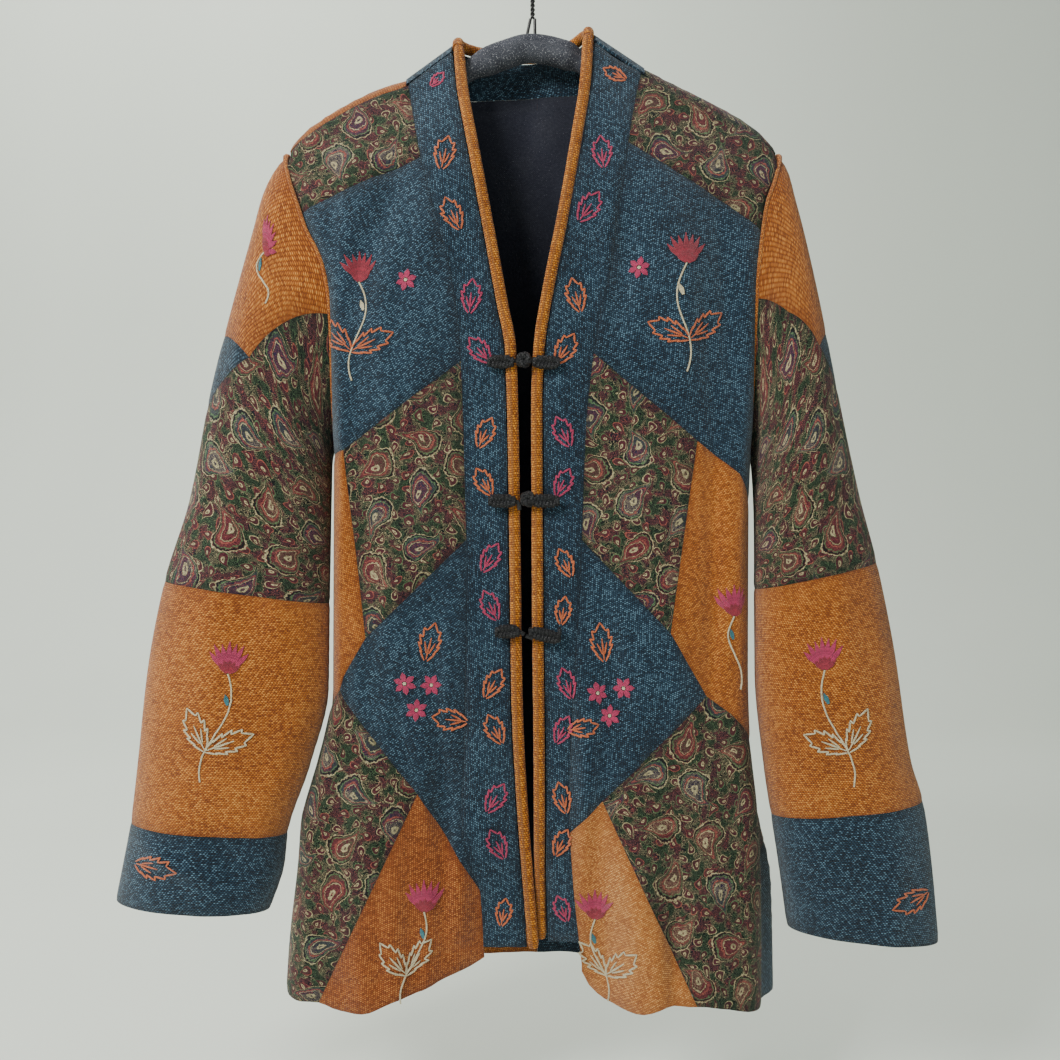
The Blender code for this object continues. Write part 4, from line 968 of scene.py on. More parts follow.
@dataclass
class Patch:
    """One cut piece of cloth: a closed wall that dips a little at its seams."""

    name: str
    panel: Panel
    outline: list[Flat]
    slot: str
    finishes: Sequence[Material]
    grain: float = 0.0
    across: float = GRID
    down: float = GRID * 0.87
    thick: float = CLOTH
    lift: float = 0.0
    dip: float = 0.8
    turn_drop: float = math.inf
    quick_spacing: float = 2.2

    def build(self) -> None:
        """Make the piece and work out its flat size."""
        coarse = 1.0
        edge = inset(self.outline, SEAM_CUT)
        spots = grid_spots(self.outline, self.across * coarse, self.down * coarse)
        flats = [tuple(p) for p in edge] + [tuple(p) for p in spots]
        count = len(edge)
        edges = [(i, (i + 1) % count) for i in range(count)]
        verts2, _, faces, _, _, _ = delaunay_2d_cdt([Vector(p) for p in flats], edges, [], 1, 1e-5)
        flats = [tuple(v) for v in verts2]
        faces = [tuple(f) for f in faces]
        away = border(np.array(flats), edge)
        away[:count] = 0.0
        outside, within = [], []
        for (flat, drop), reach in zip(flats, away):
            normal = self.panel.normal(flat, drop)
            middle = self.panel.point(flat, drop) + normal * self.lift
            dip = self.dip * math.exp(-(reach / SEAM_DIP_WIDE) ** 2)
            outside.append(middle + normal * (self.thick / 2 - dip))
            within.append(middle - normal * self.thick / 2)
        cos, sin = math.cos(self.grain), math.sin(self.grain)
        turned = [(x * cos + y * sin, y * cos - x * sin) for x, y in flats]
        made = Builder()
        made.wall(outside, within, turned, faces,
                  lambda face: int(sum(flats[i][1] for i in face) / len(face) < self.turn_drop))
        # Seam mask for the painted shade beside the seams.
        made.seams = [math.exp(-reach / SEAM_SHADE_WIDE) for reach in away] * 2
        piece = made.make(self.name, self.finishes, self.slot, [self.name])
        width, length, area = smallest_rectangle(self.outline)
        real = sum(
            (outside[f[1]] - outside[f[0]]).cross(outside[f[2]] - outside[f[0]]).length / 2 for f in faces)


def srgb(red: int, green: int, blue: int) -> tuple[float, float, float, float]:
    """Colour for a shader socket from its usual 0 to 255 numbers."""
    parts = [v / 255 for v in (red, green, blue)]
    linear = [v / 12.92 if v <= 0.04045 else ((v + 0.055) / 1.055) ** 2.4 for v in parts]
    return (*linear, 1.0)


Socket = bpy.types.NodeSocket
Value = float | tuple | Socket
Rgb = tuple[int, int, int]


class Graph:
    """Adds and joins shader nodes in one tree."""

    def __init__(self, tree: bpy.types.NodeTree) -> None:
        """Take the tree to work in."""
        self.tree = tree

    def node(self, kind: str, values: dict[str | int, Value] | None = None,
             **settings: object) -> bpy.types.Node:
        """Add one node.

        Args:
            kind: Its type.
            values: What its inputs take, by name or number: a value or another node's output.
            settings: Its own properties.

        Returns:
            The node.
        """
        made = self.tree.nodes.new(kind)
        for name, value in settings.items():
            setattr(made, name, value)
        for name, value in (values or {}).items():
            self.feed(made.inputs[name], value)
        return made

    def feed(self, socket: Socket, value: Value) -> None:
        """Join an output to an input, or set the input to a value."""
        if isinstance(value, Socket):
            self.tree.links.new(value, socket)
        else:
            socket.default_value = value

    def math(self, operation: str, *values: Value, clamp: bool = False) -> Socket:
        """Output of a Math node on up to three values."""
        settings = {"operation": operation, "use_clamp": clamp}
        return self.node("ShaderNodeMath", dict(enumerate(values)), **settings).outputs[0]

    def plus(self, one: Value, other: Value) -> Socket:
        """Sum of two values."""
        return self.math("ADD", one, other)

    def minus(self, one: Value, other: Value) -> Socket:
        """Difference of two values."""
        return self.math("SUBTRACT", one, other)

    def times(self, one: Value, other: Value) -> Socket:
        """Product of two values."""
        return self.math("MULTIPLY", one, other)

    def mix(self, part: Value, low: Value, high: Value, blend: str = "MIX") -> Socket:
        """Colour between two others."""
        values = {0: part, 6: low, 7: high}
        return self.node("ShaderNodeMix", values, data_type="RGBA", blend_type=blend).outputs[2]

    def ring(self, colour: Value, at: Socket, middle: float, half: Flat, shade: Value) -> Socket:
        """A colour with a soft line of a shade where a field is near a middle value."""
        away = self.math("ABSOLUTE", self.minus(at, middle))
        return self.mix(self.spread(away, *half), colour, shade)

    def spread(self, value: Value, low: float, high: float, to_low: float = 0.0,
               to_high: float = 1.0) -> Socket:
        """Move a range of values smoothly to another, zero to one at first."""
        values = {"Value": value, "From Min": low, "From Max": high, "To Min": to_low, "To Max": to_high}
        return self.node("ShaderNodeMapRange", values, interpolation_type="SMOOTHSTEP").outputs["Result"]

    def noise(self, vector: Value, scale: float, detail: float = 2.0, rough: float = 0.5) -> Socket:
        """Grey noise over a vector."""
        values = {"Vector": vector, "Scale": scale, "Detail": detail, "Roughness": rough}
        return self.node("ShaderNodeTexNoise", values, noise_dimensions="2D").outputs[0]

    def combine(self, x: Value, y: Value, z: Value) -> Socket:
        """Vector from three values."""
        return self.node("ShaderNodeCombineXYZ", {"X": x, "Y": y, "Z": z}).outputs[0]

    def split(self, vector: Value) -> tuple[Socket, Socket]:
        """First two values of a vector."""
        outputs = self.node("ShaderNodeSeparateXYZ", {"Vector": vector}).outputs
        return outputs[0], outputs[1]

    def scatter(self, x: Value, y: Value, z: Value = 0.0) -> Socket:
        """A steady random number for each whole place."""
        values = {"Vector": self.combine(x, y, z)}
        return self.node("ShaderNodeTexWhiteNoise", values, noise_dimensions="3D").outputs[0]

    def group(self, tree: bpy.types.NodeTree, **values: Value) -> bpy.types.NodeOutputs:
        """Outputs of a node group placed with its own values."""
        return self.node("ShaderNodeGroup", values, node_tree=tree).outputs

    def cloth_place(self) -> Socket:
        """Flat place in the cloth, in mm."""
        values = {0: self.node("ShaderNodeUVMap", uv_map="flat").outputs[0], "Scale": 1000.0}
        return self.node("ShaderNodeVectorMath", values, operation="SCALE").outputs[0]

    def relief(self, height: Value, strength: float, distance: float) -> Socket:
        """Normal of a surface whose height stands out by a real distance in metres."""
        values = {"Strength": strength, "Distance": distance, "Height": height}
        return self.node("ShaderNodeBump", values).outputs[0]


def group_graph(name: str, inputs: dict[str, float], colour: str,
                *masks: str) -> tuple[Graph, dict[str, Socket], bpy.types.NodeInputs]:
    """Start a shader node group that takes a cloth place and some numbers.

    Args:
        name: The group's name.
        inputs: Its numbers and what they are at first.
        colour: Name of its colour output, or an empty one.
        masks: Names of its plain outputs.

    Returns:
        Its graph, its inputs by name and its output node's sockets.
    """
    tree = bpy.data.node_groups.new(name, "ShaderNodeTree")
    tree.interface.new_socket("Place", in_out="INPUT", socket_type="NodeSocketVector")
    for label, value in inputs.items():
        socket = tree.interface.new_socket(label, in_out="INPUT", socket_type="NodeSocketFloat")
        socket.default_value = value
    if colour:
        tree.interface.new_socket(colour, in_out="OUTPUT", socket_type="NodeSocketColor")
    for label in masks:
        tree.interface.new_socket(label, in_out="OUTPUT", socket_type="NodeSocketFloat")
    graph = Graph(tree)
    start = graph.node("NodeGroupInput")
    end = graph.node("NodeGroupOutput")
    return graph, {socket.name: socket for socket in start.outputs if socket.name}, end.inputs


def cached_group(build: Callable[[str], None]) -> Callable[[], bpy.types.NodeTree]:
    """Build a node group once, under its function's name."""
    def fetch() -> bpy.types.NodeTree:
        """The group, built where it isn't there yet."""
        if build.__name__ not in bpy.data.node_groups:
            build(build.__name__)
        return bpy.data.node_groups[build.__name__]
    return fetch


@cached_group
def rib_weave(name: str) -> None:
    """Rows of short yarns, each with its own lightness and painted shade in the gaps between them: Place in
    mm, a rib's pitch, a yarn's length.
    """
    numbers = {"Pitch": 1.7, "Yarn": 2.6, "Lean": 0.35}
    graph, put, end = group_graph(name, numbers, "", "Yarn Tone And Gap Shade", "Height")
    across, down = graph.split(put["Place"])
    wander = graph.times(graph.minus(graph.noise(put["Place"], 0.02, 1.0), 0.5), 3.0)
    row_at = graph.math("DIVIDE", graph.plus(down, wander), put["Pitch"])
    row = graph.math("FLOOR", row_at)
    yarn_at = graph.plus(
        graph.math("DIVIDE", graph.plus(across, wander), put["Yarn"]), graph.times(row, put["Lean"]))
    chance = graph.scatter(graph.math("FLOOR", yarn_at), row)
    domes = []
    for at, fall in ((row_at, 4.0), (yarn_at, 3.2)):
        off = graph.math("POWER", graph.minus(graph.math("FRACT", at), 0.5), 2.0)
        domes.append(graph.minus(1.0, graph.times(off, fall)))
    dome = graph.math("MULTIPLY", *domes, clamp=True)
    fuzz = graph.noise(put["Place"], 2.2, 3.0, 0.6)
    graph.feed(end["Height"], graph.plus(dome, graph.times(fuzz, 0.5)))
    # The dome darkens each yarn towards its edges: painted shade in the gaps between yarns and rows.
    graph.feed(end["Yarn Tone And Gap Shade"], graph.times(graph.plus(chance, graph.times(fuzz, 0.8)), dome))


@cached_group
def soft_wear(name: str) -> None:
    """Uneven nap: broad lighter and darker places, and a mask of the cloth beside its seams, used to paint
    shade there.
    """
    graph, put, end = group_graph(name, {"Size": 60.0}, "", "Patchy", "Seam")
    values = {0: put["Place"], 1: put["Size"]}
    scaled = graph.node("ShaderNodeVectorMath", values, operation="DIVIDE").outputs[0]
    graph.feed(end["Patchy"], graph.spread(graph.noise(scaled, 1.0, 4.0, 0.6), 0.3, 0.7))
    # Seam mask: strongest at the seams, where it paints shade into the cloth.
    graph.feed(end["Seam"], graph.node("ShaderNodeAttribute", attribute_name="seam").outputs["Fac"])


def drop_rings(graph: Graph, place: Value, repeat: Value, seed: float) -> tuple[Value, Value]:
    """Curled drops, one to a cell, each turned its own way.

    Args:
        graph: The tree to add to.
        place: Place in the cloth.
        repeat: Width of a cell.
        seed: Number that sets these drops apart from others.

    Returns:
        How far out from a drop's middle a place is, one at its edge, and the drop's own chance.
    """
    across, down = graph.split(place)
    row_at = graph.math("DIVIDE", down, graph.times(repeat, 0.86))
    row = graph.math("FLOOR", row_at)
    odd = graph.math("MODULO", graph.math("ABSOLUTE", row), 2.0)
    col_at = graph.plus(graph.math("DIVIDE", across, repeat), graph.times(odd, 0.5))
    col = graph.math("FLOOR", col_at)
    turn = graph.times(graph.scatter(col, row, seed), FULL_TURN)
    x = graph.times(graph.minus(graph.math("FRACT", col_at), 0.5), 2.3)
    y = graph.times(graph.minus(graph.math("FRACT", row_at), 0.5), 2.0)
    cos, sin = graph.math("COSINE", turn), graph.math("SINE", turn)
    u = graph.minus(graph.times(x, cos), graph.times(y, sin))
    v = graph.plus(graph.times(x, sin), graph.times(y, cos))
    tail = graph.math("MAXIMUM", graph.plus(v, 0.15), 0.0)
    curl = graph.times(graph.math("POWER", tail, 2.0), 0.7)
    width = graph.math("MAXIMUM", graph.minus(0.58, graph.times(v, 0.52)), 0.12)
    beside = graph.math("DIVIDE", graph.plus(graph.minus(u, curl), 0.14), width)
    out = graph.math("SQRT", graph.plus(graph.math("POWER", beside, 2.0), graph.math("POWER", v, 2.0)))
    return out, graph.scatter(col, row, seed + 4.0)


@cached_group
def paisley_ground(name: str) -> None:
    """All-over paisley: large and small curled drops with rings, and fine curling lines between."""
    graph, put, end = group_graph(name, {"Repeat": 42.0}, "Color", "Height")
    place, repeat = put["Place"], put["Repeat"]
    bend = graph.node("ShaderNodeTexNoise", {"Vector": place, "Scale": 0.05, "Detail": 1.5},
                      noise_dimensions="2D").outputs["Color"]
    push = graph.node("ShaderNodeVectorMath", {0: bend, 1: (9.0, 9.0, 0.0), 2: place},
                      operation="MULTIPLY_ADD").outputs[0]
    large, large_chance = drop_rings(graph, push, repeat, 3.0)
    large = graph.plus(large, graph.times(graph.noise(place, 0.45, 1.0), 0.14))
    small, small_chance = drop_rings(graph, push, graph.times(repeat, 0.31), 8.0)
    curl = graph.math("FRACT", graph.times(graph.noise(push, 0.2, 1.5), 14.0))
    curls = graph.spread(graph.math("ABSOLUTE", graph.minus(curl, 0.5)), 0.2, 0.09)
    tint = graph.noise(place, 0.09, 2.0)
    ground, cream, leaf = srgb(15, 20, 20), srgb(178, 166, 126), srgb(88, 116, 78)
    wine, pink, violet = srgb(84, 28, 42), srgb(150, 80, 70), srgb(44, 34, 60)
    colour = graph.mix(graph.spread(tint, 0.5, 0.6), ground, srgb(28, 22, 36))
    warm = graph.mix(graph.spread(tint, 0.52, 0.58), cream, pink)
    lines = graph.mix(graph.spread(tint, 0.42, 0.48), leaf, warm)
    colour = graph.mix(graph.times(curls, 0.8), colour, lines)
    pale = graph.mix(graph.spread(small_chance, 0.66, 0.67), leaf, cream)
    petal = graph.mix(graph.spread(small_chance, 0.33, 0.34), pink, pale)
    colour = graph.mix(graph.times(graph.spread(small, 0.84, 0.74), 0.8), colour, wine)
    for middle, half, shade in ((0.78, 0.07, petal), (0.2, 0.13, cream)):
        colour = graph.ring(colour, small, middle, (half, half * 0.5), shade)
    inner = graph.mix(graph.spread(large_chance, 0.45, 0.55), violet, wine)
    filled = graph.mix(graph.times(curls, 0.7), inner, petal)
    colour = graph.mix(graph.spread(large, 0.98, 0.95), colour, filled)
    for middle, half, shade in ((0.97, 0.022, cream), (0.9, 0.03, ground), (0.83, 0.022, leaf),
                                (0.64, 0.03, pink), (0.54, 0.018, cream), (0.2, 0.06, cream)):
        colour = graph.ring(colour, large, middle, (half * 1.4, half * 0.6), shade)
    graph.feed(end["Color"], colour)
    graph.feed(end["Height"], graph.times(curls, 0.5))


@dataclass(frozen=True)
class Finish:
    """What all finishes share: a Principled shader fed with their own colours and relief."""

    name: str

    def material(self) -> Material:
        """Build the finish."""
        made = bpy.data.materials.new(self.name)
        made.use_nodes = True
        graph = Graph(made.node_tree)
        shader = made.node_tree.nodes["Principled BSDF"]
        for name, value in self.surface(graph).items():
            graph.feed(shader.inputs[name], value)
        return made

    def surface(self, graph: Graph) -> dict[str, Value]:
        """What the shader takes; each finish has its own."""
        raise NotImplementedError


@dataclass(frozen=True)
class Chenille(Finish):
    """Ribbed chenille of dark and light yarns."""

    dark: Rgb
    middle: Rgb
    light: Rgb
    pitch: float = 1.35
    yarn: float = 1.9
    sheen: float = 0.25

    def surface(self, graph: Graph) -> dict[str, Value]:
        """Rows of soft yarns, with painted shade beside the seams."""
        place = graph.cloth_place()
        weave = graph.group(rib_weave(), Place=place, Pitch=self.pitch, Yarn=self.yarn)
        nap_and_seam_shade = graph.group(soft_wear(), Place=place, Size=55.0)
        # The yarn tone carries painted shade in the gaps between yarns.
        light = graph.plus(weave["Yarn Tone And Gap Shade"], graph.times(nap_and_seam_shade["Patchy"], 0.14))
        colour = graph.mix(graph.spread(light, 0.15, 0.75), srgb(*self.dark), srgb(*self.middle))
        colour = graph.mix(graph.spread(light, 0.78, 1.25), colour, srgb(*self.light))
        # Painted shade: the base colour darkens towards the dark yarn beside the seams.
        return {
            "Base Color": graph.mix(graph.times(nap_and_seam_shade["Seam"], 0.55), colour, srgb(*self.dark)),
            "Roughness": graph.spread(light, 0.0, 1.2, 0.98, 0.8),
            "Sheen Weight": self.sheen, "Sheen Roughness": 0.5, "Specular IOR Level": 0.2,
            "Normal": graph.relief(weave["Height"], 0.75, 0.0009)}


@dataclass(frozen=True)
class Paisley(Finish):
    """Tapestry with an all-over paisley in fine yarns."""

    repeat: float = 42.0

    def surface(self, graph: Graph) -> dict[str, Value]:
        """The figure, speckled by its yarns, with painted shade beside the seams."""
        place = graph.cloth_place()
        figure = graph.group(paisley_ground(), Place=place, Repeat=self.repeat)
        weave = graph.group(rib_weave(), Place=place, Pitch=0.9, Yarn=1.3, Lean=0.5)
        nap_and_seam_shade = graph.group(soft_wear(), Place=place, Size=40.0)
        # The speckle carries painted shade in the gaps between yarns.
        speckle = graph.spread(weave["Yarn Tone And Gap Shade"], 0.1, 1.0, 0.45, 1.5)
        colour = graph.mix(1.0, figure["Color"], graph.combine(speckle, speckle, speckle), "MULTIPLY")
        height = graph.plus(weave["Height"], figure["Height"])
        # Painted shade: the base colour darkens beside the seams.
        return {
            "Base Color": graph.mix(graph.times(nap_and_seam_shade["Seam"], 0.5), colour, srgb(16, 18, 18)),
            "Roughness": graph.spread(nap_and_seam_shade["Patchy"], 0.0, 1.0, 0.82, 0.95),
            "Sheen Weight": 0.1, "Specular IOR Level": 0.25,
            "Normal": graph.relief(height, 0.5, 0.0006)}


@dataclass(frozen=True)
class PlainWeave(Finish):
    """Fine plain lining with a few light slubs."""

    colour: Rgb

    def surface(self, graph: Graph) -> dict[str, Value]:
        """A fine weave with slubs scattered over it."""
        place = graph.cloth_place()
        weave = graph.group(rib_weave(), Place=place, Pitch=0.8, Yarn=1.6, Lean=0.5)
        nap_and_seam_shade = graph.group(soft_wear(), Place=place, Size=30.0)
        specks = graph.spread(graph.noise(place, 0.9, 3.0, 0.7), 0.68, 0.76)
        bright = tuple(min(255, v + 40) for v in self.colour)
        # Lighter on the yarn tops, with painted shade in the gaps between yarns.
        colour = graph.mix(graph.times(weave["Yarn Tone And Gap Shade"], 0.35), srgb(*self.colour), srgb(*bright))
        return {
            "Base Color": graph.mix(graph.times(specks, 0.5), colour, srgb(150, 150, 160)),
            "Roughness": graph.spread(nap_and_seam_shade["Patchy"], 0.0, 1.0, 0.75, 0.9),
            "Specular IOR Level": 0.25, "Normal": graph.relief(weave["Height"], 0.4, 0.0003)}


@dataclass(frozen=True)
class Thread(Finish):
    """Stranded embroidery thread or braided cord, with fine strands along it."""

    colour: Rgb
    shadow: Rgb
    strand: float = 0.55
    roughness: float = 0.55
    sheen: float = 0.3

    def surface(self, graph: Graph) -> dict[str, Value]:
        """Fine strands with shadow between them."""
        place = graph.cloth_place()
        weave = graph.group(rib_weave(), Place=place, Pitch=self.strand * 2, Yarn=self.strand, Lean=0.6)
        nap_and_seam_shade = graph.group(soft_wear(), Place=place, Size=4.0)
        light = graph.plus(weave["Yarn Tone And Gap Shade"], graph.times(nap_and_seam_shade["Patchy"], 0.3))
        return {
            "Base Color": graph.mix(
                graph.spread(light, 0.1, 0.9), srgb(*self.shadow), srgb(*self.colour)),
            "Roughness": graph.spread(light, 0.0, 1.0, self.roughness + 0.15, self.roughness),
            "Sheen Weight": self.sheen, "Specular IOR Level": 0.4,
            "Normal": graph.relief(weave["Height"], 0.7, 0.0005)}


class SpeckledFoam(Finish):
    """Grey foam sleeve with light and dark specks and fine pores."""

    def surface(self, graph: Graph) -> dict[str, Value]:
        """Pores and specks from one noise."""
        place = graph.cloth_place()
        nap_and_seam_shade = graph.group(soft_wear(), Place=place, Size=18.0)
        pores = graph.noise(place, 0.75, 4.0, 0.75)
        colour = graph.mix(nap_and_seam_shade["Patchy"], srgb(56, 58, 66), srgb(76, 78, 86))
        colour = graph.mix(graph.spread(pores, 0.6, 0.66), colour, srgb(170, 170, 174))
        return {
            "Base Color": graph.mix(graph.spread(pores, 0.38, 0.32), colour, srgb(34, 36, 42)),
            "Roughness": graph.spread(pores, 0.3, 0.7, 0.98, 0.85),
            "Specular IOR Level": 0.2, "Normal": graph.relief(pores, 0.5, 0.0008)}


class LacqueredWire(Finish):
    """Black lacquered steel wire, worn a little brighter where it rubs."""

    def surface(self, graph: Graph) -> dict[str, Value]:
        """Lacquer, and bare metal in small places."""
        place = graph.cloth_place()
        nap_and_seam_shade = graph.group(soft_wear(), Place=place, Size=5.0)
        rub = graph.spread(graph.noise(place, 0.4, 4.0, 0.7), 0.6, 0.7)
        return {
            "Base Color": graph.mix(graph.times(rub, 0.6), srgb(20, 20, 22), srgb(88, 84, 80)),
            "Roughness": graph.spread(nap_and_seam_shade["Patchy"], 0.0, 1.0, 0.3, 0.5),
            "Metallic": graph.times(rub, 0.8), "Normal": graph.relief(nap_and_seam_shade["Patchy"], 0.2, 0.0001)}


@dataclass(frozen=True)
class PaintedWall(Finish):
    """Smooth pale painted wall or floor."""

    colour: Rgb

    def surface(self, graph: Graph) -> dict[str, Value]:
        """Paint with faint clouds."""
        place = graph.node("ShaderNodeTexCoord").outputs["Object"]
        dim = tuple(int(v * 0.96) for v in self.colour)
        return {
            "Base Color": graph.mix(graph.noise(place, 1.3, 3.0), srgb(*dim), srgb(*self.colour)),
            "Roughness": 0.95, "Specular IOR Level": 0.1}


class Cloth(Enum):
    """The coat's finishes that a cut piece can have, by name."""

    BLUE = "blue_chenille"
    RUST = "rust_chenille"
    PAISLEY = "paisley_tapestry"
    MUSTARD = "mustard_piping"
    NAVY = "navy_lining"
    CORD = "black_cord"
    FOAM = "grey_foam"
    WIRE = "black_wire"


class Yarn(Enum):
    """Embroidery threads."""

    MAGENTA = "magenta_thread"
    CRIMSON = "crimson_thread"
    ORANGE = "orange_thread"
    CREAM = "cream_thread"
    TEAL = "teal_thread"


@dataclass
class Wardrobe:
    """All finishes of the object, built once each."""

    cloths: dict[Cloth, Material] = field(default_factory=dict)
    yarns: dict[Yarn, Material] = field(default_factory=dict)
    low_rust: dict[Side, Material] = field(default_factory=dict)

    def build(self) -> None:
        """Make every finish."""
        for finish in (
                Chenille("blue_chenille", (6, 18, 30), (30, 60, 82), (104, 138, 158)),
                Chenille("rust_chenille", (112, 52, 10), (190, 110, 32), (226, 156, 74)),
                Paisley("paisley_tapestry"),
                Chenille("mustard_piping", (112, 56, 10), (196, 118, 26), (224, 156, 60), 1.9, 2.2, 0.2),
                PlainWeave("navy_lining", (28, 30, 42)),
                Thread("black_cord", (26, 26, 30), (3, 3, 5), 0.8, 0.3, 0.05),
                SpeckledFoam("grey_foam"), LacqueredWire("black_wire")):
            self.cloths[Cloth(finish.name)] = finish.material()
        for finish in (
                Thread("magenta_thread", (206, 52, 104), (120, 14, 52)),
                Thread("crimson_thread", (176, 38, 62), (92, 10, 30)),
                Thread("orange_thread", (232, 122, 66), (150, 62, 26)),
                Thread("cream_thread", (236, 226, 192), (170, 152, 112)),
                Thread("teal_thread", (60, 140, 150), (20, 74, 92))):
            self.yarns[Yarn(finish.name)] = finish.material()
        low = (
            Chenille("rust_chenille_low_l", (104, 46, 12), (172, 94, 36), (212, 142, 72)),
            Chenille("rust_chenille_low_r", (140, 74, 26), (204, 134, 62), (234, 178, 108)))
        self.low_rust = {side: finish.material() for side, finish in zip(Side, low)}


def dress(made: Builder, name: str, wardrobe: Wardrobe, cloth: Cloth,
          nodes: Sequence[str] | None = None) -> bpy.types.Object:
    """Make a piece in one finish, in place of its nodes or else the node of its name."""
    return made.make(name, [wardrobe.cloths[cloth]], cloth.value, [name] if nodes is None else nodes)


class FrontCut(NamedTuple):
    """Seams of one front as flat points: a plain number is a drop on the band's seam or the side."""

    chest: tuple[float, float]
    waist: tuple[float, Flat, float]
    hip: tuple[float, Flat]
    gore: tuple[Flat, float]
    low: tuple[float, Flat]
    foot: float
    band: float
    neck_x: float
    hem_x: float


FRONT_CUTS = {
    Side.LEFT: FrontCut((188.6, 232.0), (354.8, (-152, 426), 431.0), (498.0, (-133.5, 576.3)),
                        ((-158, 618), 640), (783, (-92.6, 701.6)), -171.3, 830.4, -104.5, -201),
    Side.RIGHT: FrontCut((175.8, 247.0), (348.4, (131.1, 418.9), 478.0), (498.0, (109.4, 572.2)),
                         ((138.8, 623.2), 668), (734.1, (55.6, 707)), 130.1, 826.3, 92, 186),
}


@dataclass
class FrontHalf:
    """One front: seven patches, the band and the piping along its edge."""

    side: Side
    wardrobe: Wardrobe
    panel: FrontPanel = field(init=False)
    piping_parts: int = 160
    sway: float = 4.2

    def __post_init__(self) -> None:
        """Choose the side's own lines."""
        if self.side is Side.LEFT:
            self.panel = FrontPanel(
                -1, 1.7, FOLDS_L + CREASES_L, self.side, EDGE_L, BAND_L, SIDE_L, HEM_L, FRONT_L)
        else:
            self.panel = FrontPanel(
                -1, 5.1, FOLDS_R + CREASES_R, self.side, EDGE_R, BAND_R, SIDE_R, HEM_R, FRONT_R)

    def band_line(self, drop: float) -> float:
        """Place across of the seam between the band and the patches."""
        return smooth(self.panel.band, drop)

    def inner_line(self, drop: float) -> float:
        """Place across of the band's inner edge, beside the piping."""
        return smooth(self.panel.edge, drop) + self.side.sign * (PIPING / 2 + 2 * SEAM_GAP)

    def outlines(self) -> dict[str, tuple[list[Flat], Cloth, float]]:
        """Outline, cloth and grain of each patch."""
        cut, sign, panel = FRONT_CUTS[self.side], self.side.sign, self.panel
        band, outer = self.band_line, panel.outer
        hem = panel.hem
        foot_drop = smooth(hem, cut.hem_x)
        side_foot = (outer(foot_drop), foot_drop)
        foot = (cut.foot, smooth(hem, cut.foot))
        corner = (panel.corner(foot_drop), smooth(hem, panel.corner(foot_drop)))
        chest, waist, hip, low = ((band(c[0]), c[0]) for c in (cut.chest, cut.waist, cut.hip, cut.low))
        chest_side, waist_side, gore_side = (
            (outer(drop), drop) for drop in (cut.chest[1], cut.waist[2], cut.gore[1]))
        neck_drop = roll_drop(cut.neck_x, SEAM_ANGLE)
        middle, lower, point, tip = cut.waist[1], cut.hip[1], cut.gore[0], cut.low[1]
        band_foot = band(BAND_FOOT)
        return {
            "shoulder": (
                down_curve(band, neck_drop, chest[1]) + line(chest, chest_side)
                + down_curve(outer, chest_side[1], TIP + 6)
                + shoulder_seam(sign * TIP_X, cut.neck_x), Cloth.PAISLEY, 0.2),
            "chest": (
                down_curve(band, chest[1], waist[1]) + bent([waist, middle, waist_side])
                + down_curve(outer, waist_side[1], chest_side[1]) + line(chest_side, chest),
                Cloth.BLUE, -0.35),
            "waist": (
                down_curve(band, waist[1], hip[1]) + bent([hip, lower, middle, waist]),
                Cloth.PAISLEY, -0.5),
            "gore": (
                bent([waist_side, middle, lower, point, gore_side])
                + down_curve(outer, gore_side[1], waist_side[1]), Cloth.RUST, 0.25),
            "diamond": (
                down_curve(band, hip[1], low[1]) + bent([low, tip, point, lower, hip]),
                Cloth.BLUE, -0.4),
            "skirt": (
                bent([gore_side, point, tip, foot]) + hem_curve(hem, foot[0], corner[0])
                + line(corner, side_foot) + down_curve(outer, side_foot[1], gore_side[1]),
                Cloth.PAISLEY, 0.3),
            "hem": (
                down_curve(band, low[1], smooth(hem, band_foot))
                + hem_curve(hem, band_foot, foot[0]) + bent([foot, tip, low]), Cloth.RUST, 0.45),
        }

    def build(self) -> None:
        """Make the patches and the band."""
        cloths, side, panel = self.wardrobe.cloths, self.side.value, self.panel
        for name, (outline, cloth, grain) in self.outlines().items():
            finish = self.wardrobe.low_rust[self.side] if name == "hem" else cloths[cloth]
            Patch(f"front_{side}_{name}", panel, outline, cloth.value, (finish, cloths[Cloth.NAVY]),
                  grain * self.side.sign).build()
        cut = FRONT_CUTS[self.side]
        neck = (cut.neck_x, roll_drop(cut.neck_x, SEAM_ANGLE))
        crown_x = self.inner_line(CROWN)
        crown = (crown_x, roll_drop(crown_x, SEAM_ANGLE))
        strip = (
            down_curve(self.inner_line, cut.band, crown[1]) + line(crown, neck)
            + down_curve(self.band_line, neck[1], cut.band)
            + line((self.band_line(cut.band), cut.band), (self.inner_line(cut.band), cut.band)))
        Patch(f"band_{side}", panel, strip, Cloth.BLUE.value, [cloths[Cloth.BLUE]] * 2,
              grain=math.pi / 2, across=5.0, down=5.0).build()

    def piping_route(self) -> list[Vector]:
        """Middle line of the piping, from its foot to the shoulder seam."""
        edge = self.panel.edge
        foot = 830.0 if self.side is Side.LEFT else 824.0
        top = roll_drop(smooth(edge, CROWN), SEAM_ANGLE)
        route = []
        for i in range(self.piping_parts + 1):
            drop = foot + (top - foot) * i / self.piping_parts
            place = self.panel.point(smooth(edge, drop), drop)
            place.y += self.sway * self.side.sign * min(1.0, max(0.0, (drop - 720) / 80))
            route.append(place)
        return route


